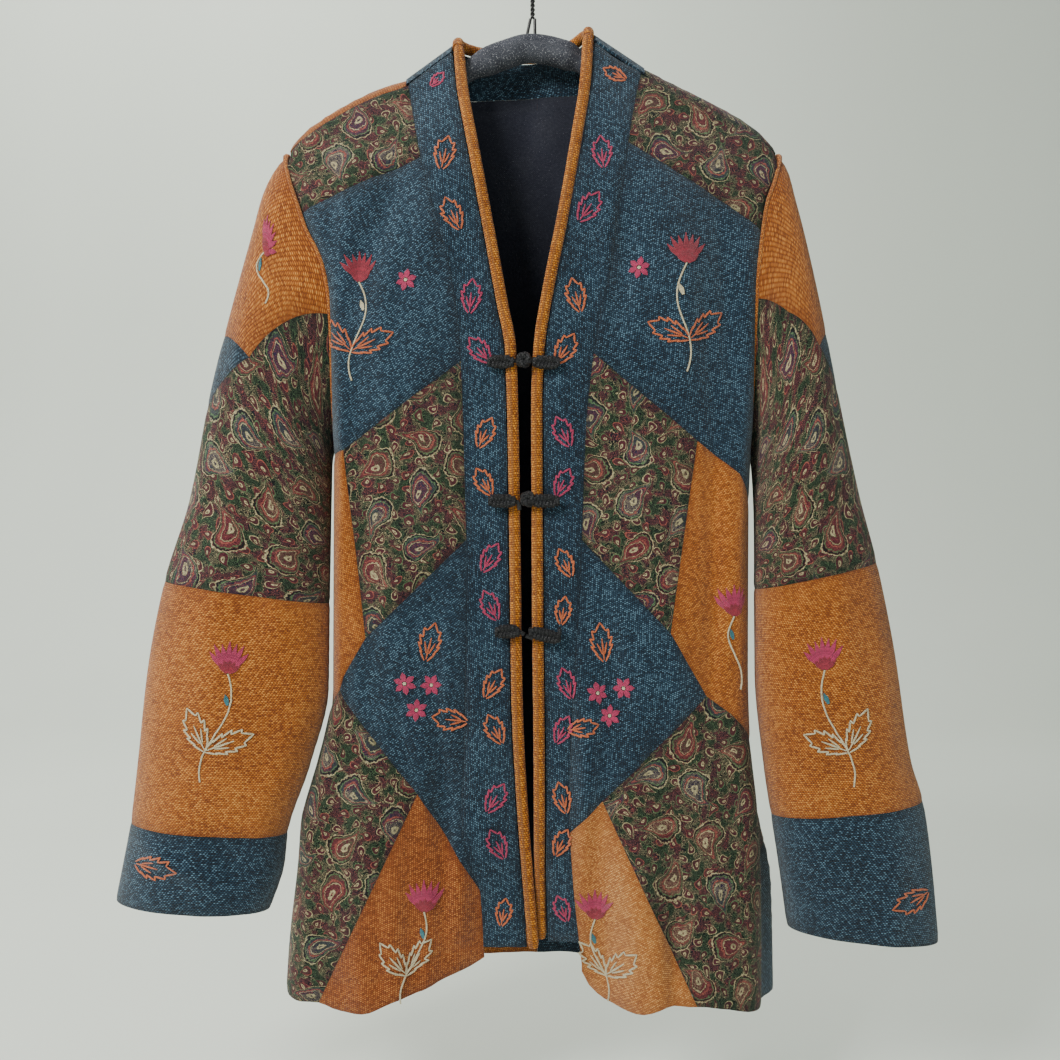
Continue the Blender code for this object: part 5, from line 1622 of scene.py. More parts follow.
@dataclass
class BackHalf:
    """Half of the back: five patches from the shoulder to the hem."""

    side: Side
    wardrobe: Wardrobe
    panel: BackPanel
    neck: NeckShape
    centres: tuple[float, ...] = (236, 415, 580, 712)
    hem_turn: float = 28.0

    def outer(self, drop: float) -> float:
        """Flat place of the half's outer edge."""
        return self.panel.outer(self.side.sign, drop)

    def build(self) -> None:
        """Make the five patches."""
        left = self.side is Side.LEFT
        sign, outer = self.side.sign, self.outer
        stops = (262, 431, 640, 745) if left else (280, 470, 668, 760)
        cloths = (
            (Cloth.RUST, Cloth.BLUE, Cloth.PAISLEY, Cloth.BLUE, Cloth.RUST) if left else
            (Cloth.PAISLEY, Cloth.RUST, Cloth.BLUE, Cloth.PAISLEY, Cloth.BLUE))
        foot_drop = smooth(HEM_L if left else HEM_R, FRONT_CUTS[self.side].hem_x)
        corner_x = self.panel.corner(sign, foot_drop)
        corner = (corner_x, smooth(HEM_BACK, corner_x))
        half = [p for p in self.neck.seam if sign * (p[0] - SEAM_X) > 3][::-sign]
        centre = (SEAM_X, self.neck.seam_drop(SEAM_X))
        tops = [(SEAM_X, drop) for drop in self.centres]
        ends = [(outer(drop), drop) for drop in stops]
        outlines = [
            bent([centre, tops[0], ends[0]]) + down_curve(outer, stops[0], TIP + 6)
            + roll_curve(-SEAM_ANGLE, sign * TIP_X, half[0][0]) + bent(half + [centre])]
        for i in range(3):
            outlines.append(
                bent([ends[i], tops[i], tops[i + 1], ends[i + 1]])
                + down_curve(outer, stops[i + 1], stops[i]))
        outlines.append(
            bent([ends[3], tops[3], (SEAM_X, smooth(HEM_BACK, SEAM_X))])
            + hem_curve(HEM_BACK, SEAM_X, corner[0]) + line(corner, (outer(foot_drop), foot_drop))
            + down_curve(outer, foot_drop, stops[3]))
        finishes = self.wardrobe.cloths
        names = ("shoulder", "upper", "waist", "hip", "hem")
        for name, outline, cloth, grain in zip(names, outlines, cloths, (0.2, -0.3, 0.3, -0.2, 0.1)):
            turn = smooth(HEM_BACK, 0) - self.hem_turn if name == "hem" else math.inf
            Patch(f"back_{self.side.value}_{name}", self.panel, outline, cloth.value,
                  (finishes[cloth], finishes[Cloth.NAVY]), grain * sign,
                  across=8.0, down=7.0, turn_drop=turn).build()


@dataclass
class Lining:
    """The lining that shows inside the back, from below the neck band to the hem's turn."""

    wardrobe: Wardrobe
    panel: BackPanel
    foot: int = 836
    side_top: int = 288
    widest_l: float = -206.0
    widest_r: float = 196.0
    neck: Flat = (84, 132)
    shoulder: Flat = (150, 182)

    def build(self) -> None:
        """Make the lining."""
        outer, mirror = self.panel.outer, [(-x, drop) for x, drop in (self.shoulder, self.neck)]
        right = [(min(outer(1, drop) - 2.0, self.widest_r), drop)
                 for drop in range(self.side_top, self.foot, 8)]
        left = [(max(outer(-1, drop) + 2.0, self.widest_l), drop)
                for drop in range(self.foot - 16, self.side_top, -8)]
        outline = (
            bent([mirror[1], self.neck, self.shoulder, right[0]]) + right
            + line((right[-1][0], self.foot), (left[0][0], self.foot)) + left
            + bent([left[-1], *mirror]))
        Patch("lining_back", self.panel, outline, Cloth.NAVY.value,
              [self.wardrobe.cloths[Cloth.NAVY]] * 2, across=9.0, down=8.0, thick=LINING,
              lift=-(CLOTH / 2 + LINING_GAP + LINING / 2), dip=0.0).build()


@dataclass
class NeckBand:
    """The band round the back of the neck, and the piping of the whole opening."""

    wardrobe: Wardrobe
    shape: NeckShape
    fronts: dict[Side, FrontHalf]
    rows: int = 56
    wide: int = 8
    end_gap: float = 0.08
    piping_parts: int = 90
    uneven: float = 0.22

    def build(self) -> None:
        """Make the band and the three lengths of piping."""
        shape, last = self.shape, len(NECK) - 1
        outside, within, flats = [], [], []
        travelled = 0.0
        before = None
        for i in range(self.rows + 1):
            at = self.end_gap + (last - 2 * self.end_gap) * i / self.rows
            inner, outer = shape.point(0, at), shape.point(1, at)
            width = (outer - inner).length
            run = (shape.point(0, at + 0.15) - shape.point(0, at - 0.15)).normalized()
            slant = max(0.5, run.cross((outer - inner) / width).length)
            start = (PIPING / 2 + 2 * SEAM_GAP) / slant
            centre = (inner + outer) / 2
            travelled += (centre - before).length if before else 0.0
            before = centre
            for k in range(self.wide + 1):
                part = (start + k / self.wide * (width - start - 1.5 * SEAM_GAP)) / width
                middle = shape.point(part, at)
                normal = shape.normal(part, at, 0.05)
                dip = 0.7 if k in (0, self.wide) else 0.1
                outside.append(middle + normal * (CLOTH / 2 - dip))
                within.append(middle - normal * CLOTH / 2)
                flats.append((travelled, part * width))
        wide = self.wide + 1
        faces = [(r * wide + c, r * wide + c + 1, (r + 1) * wide + c + 1, (r + 1) * wide + c)
                 for r in range(self.rows) for c in range(self.wide)]
        made = Builder()
        made.wall(outside, within, flats, faces, lambda face: 0)
        piece = dress(made, "neck_band", self.wardrobe, Cloth.BLUE)
        self.build_piping()

    def build_piping(self) -> None:
        """Make the round chenille piping of both fronts and the neck."""
        join = Vector((0, 0.43, 0.9)).normalized()
        left, right = (front.piping_route() for front in self.fronts.values())
        neck = [self.shape.point(0.0, (len(NECK) - 1) * i / self.piping_parts)
                for i in range(self.piping_parts + 1)]
        neck[0] = left[-1] + join * SEAM_GAP
        neck[-1] = right[-1] + join * SEAM_GAP
        runs = ("_foot", "_middle", "_top")
        for name, route, ends, parts in (
                ("piping_l", left, (None, join), runs), ("piping_r", right, (None, join), runs),
                ("piping_neck", neck, (join, -join), ("",))):
            made = Builder()
            made.tube(route, self.soft_radius, 14, ends=ends)
            dress(made, name, self.wardrobe, Cloth.MUSTARD, [name + part for part in parts])

    def soft_radius(self, part: float, angle: float) -> float:
        """Radius of the hand-filled piping, a little uneven, rounded off at its very ends."""
        uneven = self.uneven * noise.noise(Vector((part * 60, math.cos(angle), math.sin(angle))))
        close = min(1.0, 0.8 + min(part, 1 - part) * 40)
        return (PIPING / 2 + uneven - 0.1) * close


@dataclass
class SleeveHalf:
    """One sleeve: its cap, small outer gusset, upper and lower parts and cuff."""

    side: Side
    wardrobe: Wardrobe
    shape: SleeveShape = field(init=False)
    lower_ring: int = 7
    cuff_ring: int = 10
    top: float = 0.3
    roll: float = 1.7
    roll_parts: int = 120

    def __post_init__(self) -> None:
        """Choose the side's own sections and creases."""
        if self.side is Side.LEFT:
            self.shape = SleeveShape(-1, 11.3, SLEEVE_L, self.side, CREASES_SLEEVE_L)
        else:
            self.shape = SleeveShape(1, 14.9, SLEEVE_R, self.side, CREASES_SLEEVE_R)

    def whole_round(self, top: float, bottom: float) -> list[Flat]:
        """Outline of a stretch that goes all the way round."""
        half = self.shape.round_length / 2
        return bent([(-half, top), (half, top), (half, bottom), (-half, bottom), (-half, top)], 4.0)

    def build(self) -> None:
        """Make the five pieces."""
        left = self.side is Side.LEFT
        half, top = self.shape.round_length / 2, self.top
        lengths = self.shape.lengths
        low, cuff = lengths[self.lower_ring], lengths[self.cuff_ring]
        foot = (0.0, 101.0)
        if left:
            front, behind = [(81, top), (52, 88)], [(-52, 95), (-81, top)]
            gusset = [(35, 113), (17, 135), (-10, 148), (-20, 98.7)]
        else:
            front, behind = [(76, top), (62, 43), (38, 94)], [(-38, 94), (-62, 43), (-76, top)]
            gusset = [(20, 120), (0, 140), (-8, 137), (-15, 98.2)]
        outlines = (
            ("cap", bent([behind[-1], *front, foot, gusset[-1], *behind], 4.0), Cloth.RUST, 0.0),
            ("gusset", bent([front[-1], foot, *gusset[::-1], front[-1]], 3.0), Cloth.BLUE, 0.2),
            ("upper", bent([
                (-half, top), *behind[::-1], *gusset[::-1], *front[::-1], (half, top), (half, low),
                (-half, low), (-half, top)], 4.0), Cloth.PAISLEY, 0.1),
            ("lower", self.whole_round(low, cuff), Cloth.RUST, 0.0),
            ("cuff", self.whole_round(cuff, lengths[-1]), Cloth.BLUE, 0.0),
        )
        cloths = self.wardrobe.cloths
        for name, outline, cloth, grain in outlines:
            Patch(f"sleeve_{self.side.value}_{name}", self.shape, outline, cloth.value,
                  (cloths[cloth], cloths[Cloth.NAVY]), grain, across=4.2, down=5.6, dip=0.6).build()
        made = Builder()
        loop = [self.shape.point(-half + 2 * half * i / self.roll_parts, -0.9)
                for i in range(self.roll_parts + 1)]
        made.tube(loop, lambda part, angle: self.roll * (1 + math.exp(-((part - 0.5) / 0.045) ** 2)), 8)
        dress(made, f"armhole_seam_{self.side.value}", self.wardrobe, Cloth.RUST, ())


@dataclass
class Needle:
    """Works raised stitches on a panel, in mm as the front view shows them."""

    panel: Panel
    made: Builder = field(default_factory=Builder)
    thick: float = 1.7

    def stretch(self, at: Flat) -> Flat:
        """Flat length for a mm across, with its sign as seen from the front, and for one down."""
        across = self.panel.point(at[0] + 1, at[1]) - self.panel.point(at[0] - 1, at[1])
        down = self.panel.point(at[0], at[1] + 1) - self.panel.point(at[0], at[1] - 1)
        sign = -1 if across.x < 0 and self.panel.outward > 0 else 1
        return sign * 2 / max(across.length, 0.4), 2 / max(down.length, 0.4)

    def stitch(self, places: Sequence[Flat], width: float, slot: int, taper: bool = True) -> None:
        """Lay one raised stitch along flat places.

        Args:
            places: The places it passes.
            width: Its width.
            slot: Which thread it is worked in.
            taper: Whether its ends narrow.
        """
        route = [self.panel.raised(*place, 0.3 + 0.12 * width) for place in places]
        normal = self.panel.normal(*places[len(places) // 2])

        def size(part: float, angle: float) -> float:
            """Half width along the stitch."""
            close = math.sin(math.pi * min(max(part, 0.06), 0.94)) ** 0.5 if taper else 1.0
            return width / 2 * close

        self.made.tube(route, size, 7, 0.55, normal, slot)

    def run(self, at: Flat, angle: float, points: Sequence[Flat], width: float, slot: int) -> None:
        """Lay a stitch given by points in mm from a place, along and beside a direction.

        Args:
            at: Flat place of the start.
            angle: Direction as seen from the front, from straight right, turning up.
            points: Lengths along and beside it.
            width: Width of the stitch.
            slot: Which thread.
        """
        wide, tall = self.stretch(at)
        cos, sin = math.cos(angle), math.sin(angle)
        spots = [(a0 + (a1 - a0) * i / 3, b0 + (b1 - b0) * i / 3)
                 for (a0, b0), (a1, b1) in zip(points, points[1:]) for i in range(3)]
        places = [(at[0] + (a * cos - b * sin) * wide, at[1] - (a * sin + b * cos) * tall)
                  for a, b in [*spots, points[-1]]]
        self.stitch(places, width, slot)

    def leaf(self, base: Flat, angle: float, length: float, width: float, slot: int) -> None:
        """Work a toothed leaf: a saw-edged outline with a vein and two side veins."""
        teeth = 5

        def edge(t: float, shift: float, size: float) -> float:
            """Half width of the leaf at a part of its length."""
            return width / 2 * math.sin(math.pi * min(1, t * 0.92 + shift)) ** 0.8 * size

        for beside in (-1, 1):
            for i in range(teeth):
                t0, t1 = i / teeth, (i + 1) / teeth
                tip = (length * (t1 + 0.04), beside * edge(t1, 0.02, 1.12) if i < teeth - 1 else 0.0)
                valley = (length * t0, beside * edge(t0, 0.04, 0.72))
                self.run(base, angle, [valley, tip], self.thick, slot)
                if i < teeth - 1:
                    valley = (length * t1, beside * edge(t1, 0.04, 0.72))
                    self.run(base, angle, [tip, valley], self.thick, slot)
        self.run(base, angle, [(length * 0.04, 0), (length * 0.62, 0)], self.thick, slot)
        for beside in (-1, 1):
            side_vein = [(length * 0.2, 0.06 * width * beside), (length * 0.5, 0.24 * width * beside)]
            self.run(base, angle, side_vein, self.thick * 0.9, slot)

    def petal(self, base: Flat, angle: float, start: float, length: float, width: float, slot: int) -> None:
        """Work one filled petal from three stitches side by side."""
        for beside in (-1, 0, 1):
            run = length if beside == 0 else length * 0.86
            off = beside * width * 0.3
            self.run(base, angle, [(start, off * 0.5), (start + run * 0.6, off), (start + run, off * 0.4)],
                     width * 0.5, slot)

    def daisy(self, at: Flat, size: float, petals: int, centre: int, turn: float) -> None:
        """Work a small six-petalled flower with a light centre."""
        for i in range(6):
            self.petal(at, turn + i * math.pi / 3, size * 0.2, size * 0.8, size * 0.5, petals)
        for i in range(3):
            self.run(at, i * math.pi / 3, [(-size * 0.16, 0), (size * 0.16, 0)], size * 0.2, centre)

    def bloom(self, at: Flat, angle: float, size: float, upper: int, lower: int) -> None:
        """Work an open fan-shaped flower: long upper petals over a darker cup."""
        for i, spread in enumerate((-1.0, -0.62, -0.3, 0.02, 0.36, 0.7, 1.05)):
            length = size * (0.86, 0.98, 0.94, 1.0, 0.9, 1.0, 0.84)[i]
            self.petal(at, angle + spread * 0.74, size * 0.28, length * 0.72, size * 0.15, upper)
        for spread in (-1.15, -0.6, -0.1, 0.4, 0.95):
            self.petal(at, angle + spread * 0.8, size * 0.03, size * 0.44, size * 0.17, lower)


class BloomPlan(NamedTuple):
    """A tall flower: photo places of its head and foot, its stem's sway and its leaves' turns."""

    head: Flat
    foot: Flat
    sway: float
    turns: tuple[float, ...]
    leaf: Yarn
    bud_yarn: Yarn = Yarn.TEAL


# Photo place of each band leaf's middle, its turn in degrees and its length, from the neck down.
# They are worked by turns in two threads, and after the first one always two in the same.
BAND_LEAVES = {
    Side.LEFT: (
        (435, 68, 50, 20), (444, 150, 80, 36), (452, 213, 115, 34), (471, 296, 85, 34),
        (480, 350, 130, 32), (485, 433, 65, 32), (484, 482, 120, 30), (490, 558, 60, 32),
        (490, 606, 115, 32), (493, 684, 60, 32), (495, 730, 115, 32), (495, 801, 60, 33),
        (497, 849, 115, 33), (503, 920, 80, 28)),
    Side.RIGHT: (
        (617, 62, 155, 26), (603, 148, 95, 34), (589, 205, 55, 36), (576, 295, 105, 34),
        (565, 349, 60, 34), (563, 432, 115, 32), (563, 483, 65, 30), (565, 563, 115, 30),
        (563, 611, 80, 28), (567, 684, 110, 32), (563, 731, 65, 30), (563, 800, 105, 32),
        (562, 846, 65, 30), (563, 915, 110, 28)),
}
PANEL_LEAVES = {
    Side.LEFT: ((430, 642, 75, 38), (450, 720, 172, 36)),
    Side.RIGHT: ((602, 643, 97, 38), (581, 728, 12, 30)),
}
DAISIES = {
    Side.LEFT: ((406, 280), (405, 683), (431, 685), (416, 710)),
    Side.RIGHT: ((640, 267), (597, 693), (624, 688), (610, 716)),
}
FRONT_BLOOMS = {
    Side.LEFT: (
        BloomPlan((358, 280), (356, 380), 9, (135, 22), Yarn.ORANGE, Yarn.CREAM),
        BloomPlan((424, 912), (405, 1000), 7, (130, 50), Yarn.CREAM)),
    Side.RIGHT: (
        BloomPlan((686, 264), (681, 372), -8, (158, 38), Yarn.ORANGE, Yarn.CREAM),
        BloomPlan((596, 924), (606, 1008), -7, (130, 48), Yarn.CREAM),
        BloomPlan((734, 616), (740, 690), -8, (), Yarn.CREAM)),
}
SLEEVE_BLOOMS = {
    Side.LEFT: (
        BloomPlan((231, 672), (209, 780), 9, (122, 24), Yarn.CREAM),
        BloomPlan((258, 246), (257, 300), -7, (), Yarn.CREAM)),
    Side.RIGHT: (BloomPlan((821, 668), (845, 783), -9, (156, 58), Yarn.CREAM),),
}
CUFF_LEAVES = {Side.LEFT: (152, 866, -4, 40), Side.RIGHT: (915, 900, 200, 38)}
# A stem's parts, and which of them carry the bud and the leaves.
STEM_PARTS = 20
BUD_AT = 5
LEAF_AT = 14


@dataclass(frozen=True)
class PhotoView:
    """Turns places in the photograph to mm, at the depth of the cloth they lie on."""

    scale: float = 0.8
    distance: float = 990.0
    plane: float = 40.0
    middle: Flat = (530, 530)
    aim: Flat = (-2.4, 490)

    def place(self, x: float, y: float, depth: float) -> Flat:
        """Place across and drop of a photo place."""
        factor = self.scale * (self.distance - depth) / (self.distance - self.plane)
        return (self.aim[0] + (x - self.middle[0]) * factor, self.aim[1] + (y - self.middle[1]) * factor)


@dataclass
class Embroidery:
    """All worked flowers and leaves of one half of the coat."""

    side: Side
    wardrobe: Wardrobe
    front: FrontPanel
    sleeve: SleeveShape
    view: PhotoView = PhotoView()
    leaf_length: float = 36.0
    leaf_width: float = 17.0
    stem_width: float = 1.4
    bloom_size: float = 25.0
    daisy_size: float = 9.0

    def on_front(self, x: float, y: float) -> Flat:
        """Flat place on the front of a photo place."""
        return self.view.place(x, y, 42.0)

    def on_sleeve(self, x: float, y: float) -> Flat:
        """Flat place on the sleeve of a photo place."""
        return self.sleeve.find(*self.view.place(x, y, 52.0))

    def leaf(self, needle: Needle, motif: Sequence[float], yarn: Yarn, locate: Locate) -> None:
        """Work one leaf about its middle."""
        x, y, turn, length = motif
        angle, length = math.radians(turn), length * self.view.scale
        middle = locate(x, y)
        wide, tall = needle.stretch(middle)
        base = (middle[0] - math.cos(angle) * length / 2 * wide,
                middle[1] + math.sin(angle) * length / 2 * tall)
        needle.leaf(base, angle, length, length * 0.58, list(Yarn).index(yarn))

    def bloom(self, needle: Needle, plan: BloomPlan, locate: Locate) -> None:
        """Work one tall flower: a stem that sways twice, a bud beside it and two leaves."""
        yarns = list(Yarn)
        (x0, y0), (x1, y1) = plan.head, plan.foot
        stem = [(x0 + (x1 - x0) * t + plan.sway * math.sin(1.8 * math.pi * t), y0 + (y1 - y0) * t)
                for t in (i / STEM_PARTS for i in range(STEM_PARTS + 1))]
        needle.stitch([locate(*spot) for spot in stem], self.stem_width, yarns.index(Yarn.CREAM), False)
        upper = Yarn.CRIMSON if plan.bud_yarn is Yarn.CREAM else Yarn.MAGENTA
        needle.bloom(locate(*plan.head), math.pi / 2, self.bloom_size, yarns.index(upper),
                     yarns.index(Yarn.CRIMSON))
        bud = (stem[BUD_AT][0] - 0.5 * plan.sway, stem[BUD_AT][1])
        needle.petal(locate(*bud), 1.9, -4.0, 9.0, 3.6, yarns.index(plan.bud_yarn))
        for turn in plan.turns:
            needle.leaf(locate(*stem[LEAF_AT]), math.radians(turn), self.leaf_length, self.leaf_width,
                        yarns.index(plan.leaf))

    def build(self) -> None:
        """Work the front's and the sleeve's motifs, one piece each."""
        yarns = [self.wardrobe.yarns[yarn] for yarn in Yarn]
        needle = Needle(self.front)
        threads = (Yarn.MAGENTA, Yarn.ORANGE) if self.side is Side.LEFT else (Yarn.ORANGE, Yarn.MAGENTA)
        for i, motif in enumerate(BAND_LEAVES[self.side], 1):
            self.leaf(needle, motif, threads[i // 2 % 2], self.on_front)
        for motif in PANEL_LEAVES[self.side]:
            self.leaf(needle, motif, Yarn.ORANGE, self.on_front)
        for i, spot in enumerate(DAISIES[self.side]):
            needle.daisy(self.on_front(*spot), self.daisy_size, list(Yarn).index(Yarn.MAGENTA),
                         list(Yarn).index(Yarn.CREAM), 0.3 + 0.4 * i)
        for plan in FRONT_BLOOMS[self.side]:
            self.bloom(needle, plan, self.on_front)
        needle.made.make(f"embroidery_front_{self.side.value}", yarns)
        needle = Needle(self.sleeve)
        for plan in SLEEVE_BLOOMS[self.side]:
            self.bloom(needle, plan, self.on_sleeve)
        self.leaf(needle, CUFF_LEAVES[self.side], Yarn.ORANGE, self.on_sleeve)
        needle.made.make(f"embroidery_sleeve_{self.side.value}", yarns)


class FrogHalf(NamedTuple):
    """Half of a closure: drop, ends of its braided bar, rise of its far end, knot and loop places."""

    node: str
    drop: float
    x0: float
    x1: float
    rise: float
    knot: float | None
    link: tuple[Flat, ...]


FROGS = (
    FrogHalf("frog_1_l", 356.5, -35, -16.5, 0, None, ((-18, 0), (-15, -1), (-13.6, -1))),
    FrogHalf("frog_1_r", 356.5, 1, 20, 1, -7.2, ((-3, -1), (0, 0), (3, 1))),
    FrogHalf("frog_2_l", 467.0, -34, -15, 0, None, ((-16, 0), (-12.6, 0.5), (-11, 3.5), (-10.6, 7))),
    FrogHalf("frog_2_r", 467.0, -0.5, 19.5, 0, -4.0, ((-2, 0), (0, 0), (2, 0))),
    FrogHalf("frog_3_l", 571.0, -29, -12, -1, None, ((-14, -0.5), (-10, 0), (-6.8, 2))),
    FrogHalf("frog_3_r", 571.0, -2, 21, 5, None, ((-5.8, 3), (-3, 4), (0, 5))),
)


@dataclass
class Frogs:
    """The three knotted cord closures: a braided bar on each side, with a knot and loops between."""

    wardrobe: Wardrobe
    fronts: dict[Side, FrontHalf]
    strand: float = 1.75
    width: float = 4.0
    seat: float = 3.3
    parts: int = 48

    def build(self) -> None:
        """Make all six halves."""
        for half in FROGS:
            side = Side(half.node[-1])
            panel = self.fronts[side].panel
            rest = smooth(panel.tables["edge"], half.drop) + PIPING / 2 + SEAM_GAP
            made = Builder()
            middle = -rest - self.seat
            for phase in range(3):
                made.tube(self.braid(half, middle, phase), self.strand, 8)
            for end in (half.x0, half.x1):
                made.tube(self.ring(end, half.drop, middle, 2.6), self.strand * 0.9, 8)
            link = [Vector((x, middle, -(half.drop + rise))) for x, rise in half.link]
            made.tube(link, self.strand, 8)
            if half.knot is not None:
                made.tube(self.knot(half.knot, half.drop - 1.5, middle), self.strand * 1.05, 8)
            dress(made, half.node, self.wardrobe, Cloth.CORD)

    def braid(self, half: FrogHalf, middle: float, phase: int) -> list[Vector]:
        """Route of one of three strands that cross over each other along the bar."""
        route, turns = [], abs(half.x1 - half.x0) / 8.5
        for i in range(self.parts + 1):
            part = i / self.parts
            angle = 2 * math.pi * (part * turns + phase / 3)
            close = min(1.0, 0.35 + 3.5 * min(part, 1 - part))
            rise = half.rise * part + self.width * close * math.sin(angle)
            x = half.x0 + (half.x1 - half.x0) * part
            route.append(Vector((x, middle + 1.5 * math.sin(2 * angle), -(half.drop + rise))))
        return route

    def ring(self, x: float, drop: float, middle: float, size: float) -> list[Vector]:
        """Route of a turn of cord that binds a bar's end."""
        return [Vector((x, middle + 0.75 * size * math.cos(a), -drop + size * math.sin(a)))
                for a in (2 * math.pi * i / 16 for i in range(17))]

    def knot(self, x: float, drop: float, middle: float) -> list[Vector]:
        """Route of the round button knot, which winds over itself five times."""
        route = []
        for i in range(2 * self.parts + 1):
            t = math.pi * i / self.parts
            size = 3.3 + 1.7 * math.cos(5 * t)
            deep = middle - 0.4 + 1.9 * math.sin(5 * t)
            route.append(Vector((x + size * math.cos(3 * t), deep, -drop + size * math.sin(3 * t))))
        return route


@dataclass
class Hanger:
    """The foam-padded bar, the twisted legs and stem, and the open hook."""

    wardrobe: Wardrobe
    places: tuple[Flat, ...] = (
        (-183, 179), (-152, 154), (-104, 133), (-70, 117), (-49, 105), (-26, 95), (-3, 88.5),
        (20, 92), (38, 99.5), (62, 113), (92, 127), (141, 152), (184, 181))
    full: float = 11.6
    pressed: float = 8.6
    wire: float = 1.3
    inner: float = 17.0
    parts: int = 120
    twist_low: float = 63.6
    twist_top: float = 46.0
    pitch: float = 7.2
    twist_parts: int = 40
    hook_parts: int = 48
    hook_wire: float = 1.6

    def build(self) -> None:
        """Make the bar, the legs and the hook."""
        last = len(self.places) - 1
        middles = [along(self.places, last * i / self.parts) for i in range(self.parts + 1)]
        route = [Vector((x, 0, -drop)) for x, drop in middles]
        made = Builder()
        made.tube(route, self.foam_radius, 28)
        dress(made, "hanger_foam", self.wardrobe, Cloth.FOAM)
        for side, low, high in ((Side.LEFT, -5.0, -2.0), (Side.RIGHT, 1.8, 1.6)):
            made = Builder()
            leg = [Vector((low + (high - low) * t, 0, -(78.0 - 14.0 * t))) for t in (0, 0.25, 0.5, 0.75, 1)]
            made.tube(leg, self.wire, 12)
            dress(made, f"hanger_leg_{side.value}", self.wardrobe, Cloth.WIRE)
        self.build_hook()

    def foam_radius(self, part: float, angle: float) -> float:
        """Radius of the foam: full where it shows, pressed under the shoulders, closed at its ends."""
        x = along(self.places, part * (len(self.places) - 1))[0]
        size = smooth(((-50, self.pressed), (-36, self.full), (27, self.full), (38, self.pressed)), x)
        end = min(part, 1 - part) * 60
        size *= math.sqrt(max(0.16, min(1.0, end + 0.2)))
        return size + 0.3 * noise.noise(Vector((part * 26, math.cos(angle), math.sin(angle))))

    def build_hook(self) -> None:
        """Make the two strands twisted together below the plain hook."""
        made = Builder()
        low, top = self.twist_low, self.twist_top
        for phase in (0.0, math.pi):
            route = []
            for i in range(self.twist_parts + 1):
                drop = low + (top - low) * i / self.twist_parts
                angle = phase + 2 * math.pi * (low - drop) / self.pitch
                close = 1.05 * min(1.0, (self.twist_parts + 1 - i) / 8)
                route.append(Vector((-0.2 + close * math.cos(angle), close * math.sin(angle), -drop)))
            made.tube(route, 0.98, 10)
        bend = ((-0.2, top + 1.0), (2.0, 42.0), (7.0, 36.5), (12.6, 31.0))
        route = [Vector((x, 0, -drop)) for x, drop in bend]
        reach = self.inner + self.hook_wire
        for i in range(self.hook_parts + 1):
            angle = math.radians(-30 + 245 * i / self.hook_parts)
            route.append(Vector((math.cos(angle) * reach, 0, -self.inner + math.sin(angle) * reach)))
        made.tube(
            route, lambda part, angle:
            self.hook_wire * math.sqrt(max(0.15, min(1.0, 0.25 + (1 - part) * 25))), 14)
        dress(made, "hanger_hook", self.wardrobe, Cloth.WIRE)


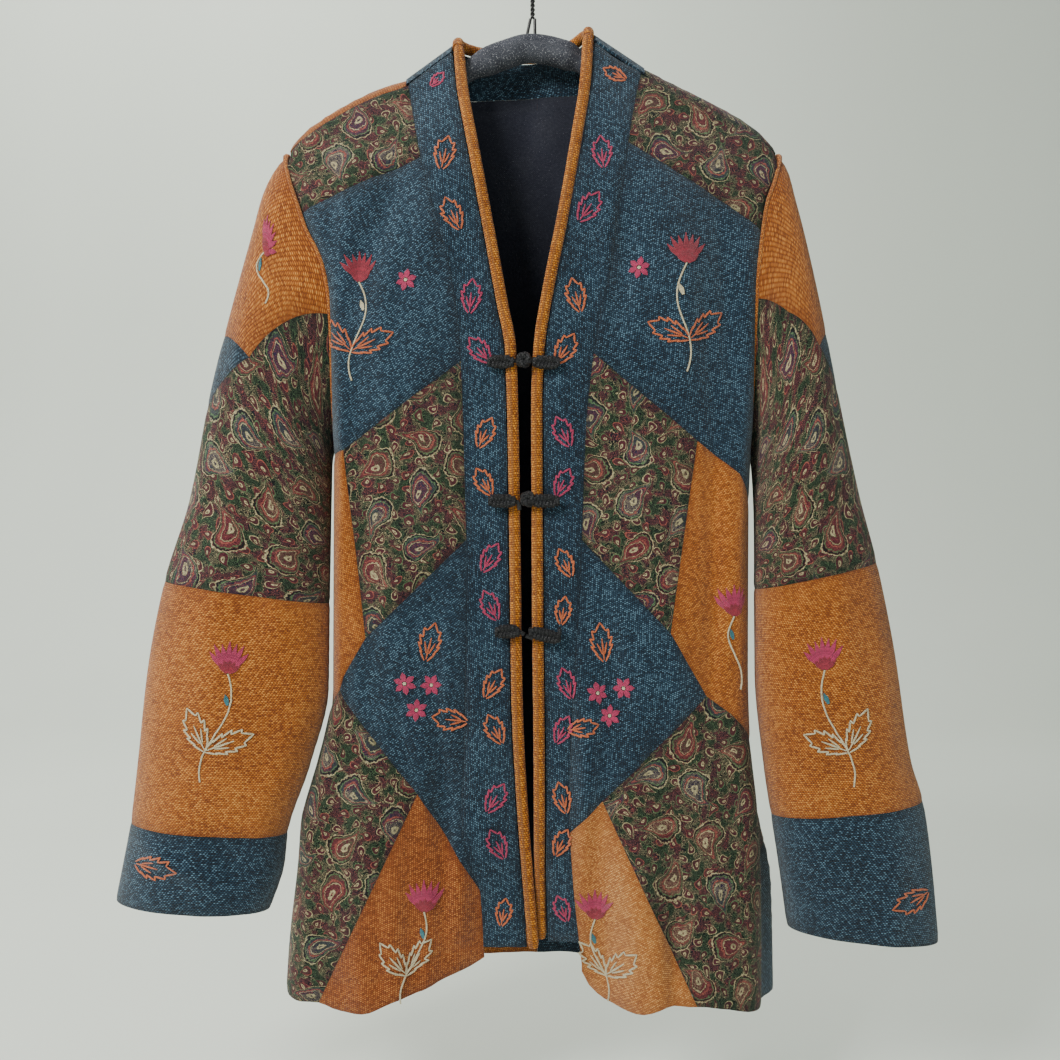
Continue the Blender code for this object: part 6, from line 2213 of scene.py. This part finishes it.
@dataclass
class Studio:
    """Pale wall and floor, soft light, and the camera at the photograph's angle."""

    middle: tuple[float, float, float] = (0.0, 0.0, -0.49)
    place: tuple[float, float, float] = (-0.0024, -0.99, -0.49)
    lens: float = 40.33

    def build(self) -> None:
        """Set up the scene."""
        camera = bpy.data.objects.new("camera", bpy.data.cameras.new("camera"))
        camera.data.lens = self.lens
        camera.data.sensor_width = 36.0
        camera.data.clip_start = 0.01
        camera.location = self.place
        camera.rotation_euler = (math.pi / 2, 0, 0)
        bpy.context.scene.collection.objects.link(camera)
        bpy.context.scene.camera = camera
        self.lamp("key_light", (-1.2, -1.5, 0.7), 0.8, 52.0, (1.0, 0.985, 0.955), self.middle)
        self.lamp("fill_light", (1.5, -1.5, -0.1), 1.8, 7.0, (0.93, 0.97, 1.0), self.middle)
        self.lamp("top_light", (-0.2, 0.5, 1.5), 1.6, 10.0, (1.0, 1.0, 1.0), self.middle)
        self.lamp("wall_light", (-1.3, 0.9, 2.3), 2.0, 95.0, (1.0, 1.0, 0.97), (-0.7, 3.0, -0.3))
        world = bpy.data.worlds.new("pale_room")
        world.use_nodes = True
        background = world.node_tree.nodes["Background"]
        background.inputs["Color"].default_value = (0.72, 0.78, 0.74, 1.0)
        background.inputs["Strength"].default_value = 0.42
        bpy.context.scene.world = world
        self.backdrop()

    def lamp(self, name: str, place: Sequence[float], size: float, power: float,
             colour: Sequence[float], aim: Sequence[float]) -> None:
        """Add one soft square light.

        Args:
            name: Its name.
            place: Where it stands.
            size: Its side.
            power: Its power in watts.
            colour: Its colour.
            aim: What it faces.
        """
        lamp = bpy.data.lights.new(name, "AREA")
        lamp.energy, lamp.size, lamp.color = power, size, colour
        placed = bpy.data.objects.new(name, lamp)
        placed.location = place
        placed.rotation_euler = (Vector(aim) - placed.location).to_track_quat("-Z", "Y").to_euler()
        bpy.context.scene.collection.objects.link(placed)

    def backdrop(self) -> None:
        """Add a pale floor below the hem that curves up to a wall behind."""
        floor, wall, bend = -0.98, 3.0, 1.2
        profile = [(-4.0, floor), (wall - bend, floor)]
        for i in range(1, 13):
            angle = math.pi / 2 * i / 12
            profile.append((wall - bend + bend * math.sin(angle), floor + bend * (1 - math.cos(angle))))
        profile.append((wall, 4.0))
        verts = [(x, y, z) for y, z in profile for x in (-5.0, 5.0)]
        faces = [(2 * i, 2 * i + 1, 2 * i + 3, 2 * i + 2) for i in range(len(profile) - 1)]
        mesh = bpy.data.meshes.new("backdrop")
        mesh.from_pydata(verts, [], faces)
        mesh.materials.append(PaintedWall("pale_wall", (232, 238, 228)).material())
        mesh.shade_smooth()
        placed = bpy.data.objects.new("backdrop", mesh)
        bpy.context.scene.collection.objects.link(placed)


def main() -> None:
    """Build the coat, its hanger and the studio round them."""
    logging.basicConfig(level=logging.INFO, format="%(name)s %(message)s")
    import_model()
    Studio().build()
    wardrobe = Wardrobe()
    wardrobe.build()
    back = BackPanel(1, 9.1, FOLDS_BACK + CREASES_BACK)
    neck = NeckShape(1, 0.0, back)
    fronts = {side: FrontHalf(side, wardrobe) for side in Side}
    for side in Side:
        fronts[side].build()
        sleeve = SleeveHalf(side, wardrobe)
        sleeve.build()
        BackHalf(side, wardrobe, back, neck).build()
        Embroidery(side, wardrobe, fronts[side].panel, sleeve.shape).build()
    Lining(wardrobe, back).build()
    NeckBand(wardrobe, neck, fronts).build()
    Frogs(wardrobe, fronts).build()
    Hanger(wardrobe).build()
    bpy.context.view_layer.update()


if __name__ == "__main__":
    main()
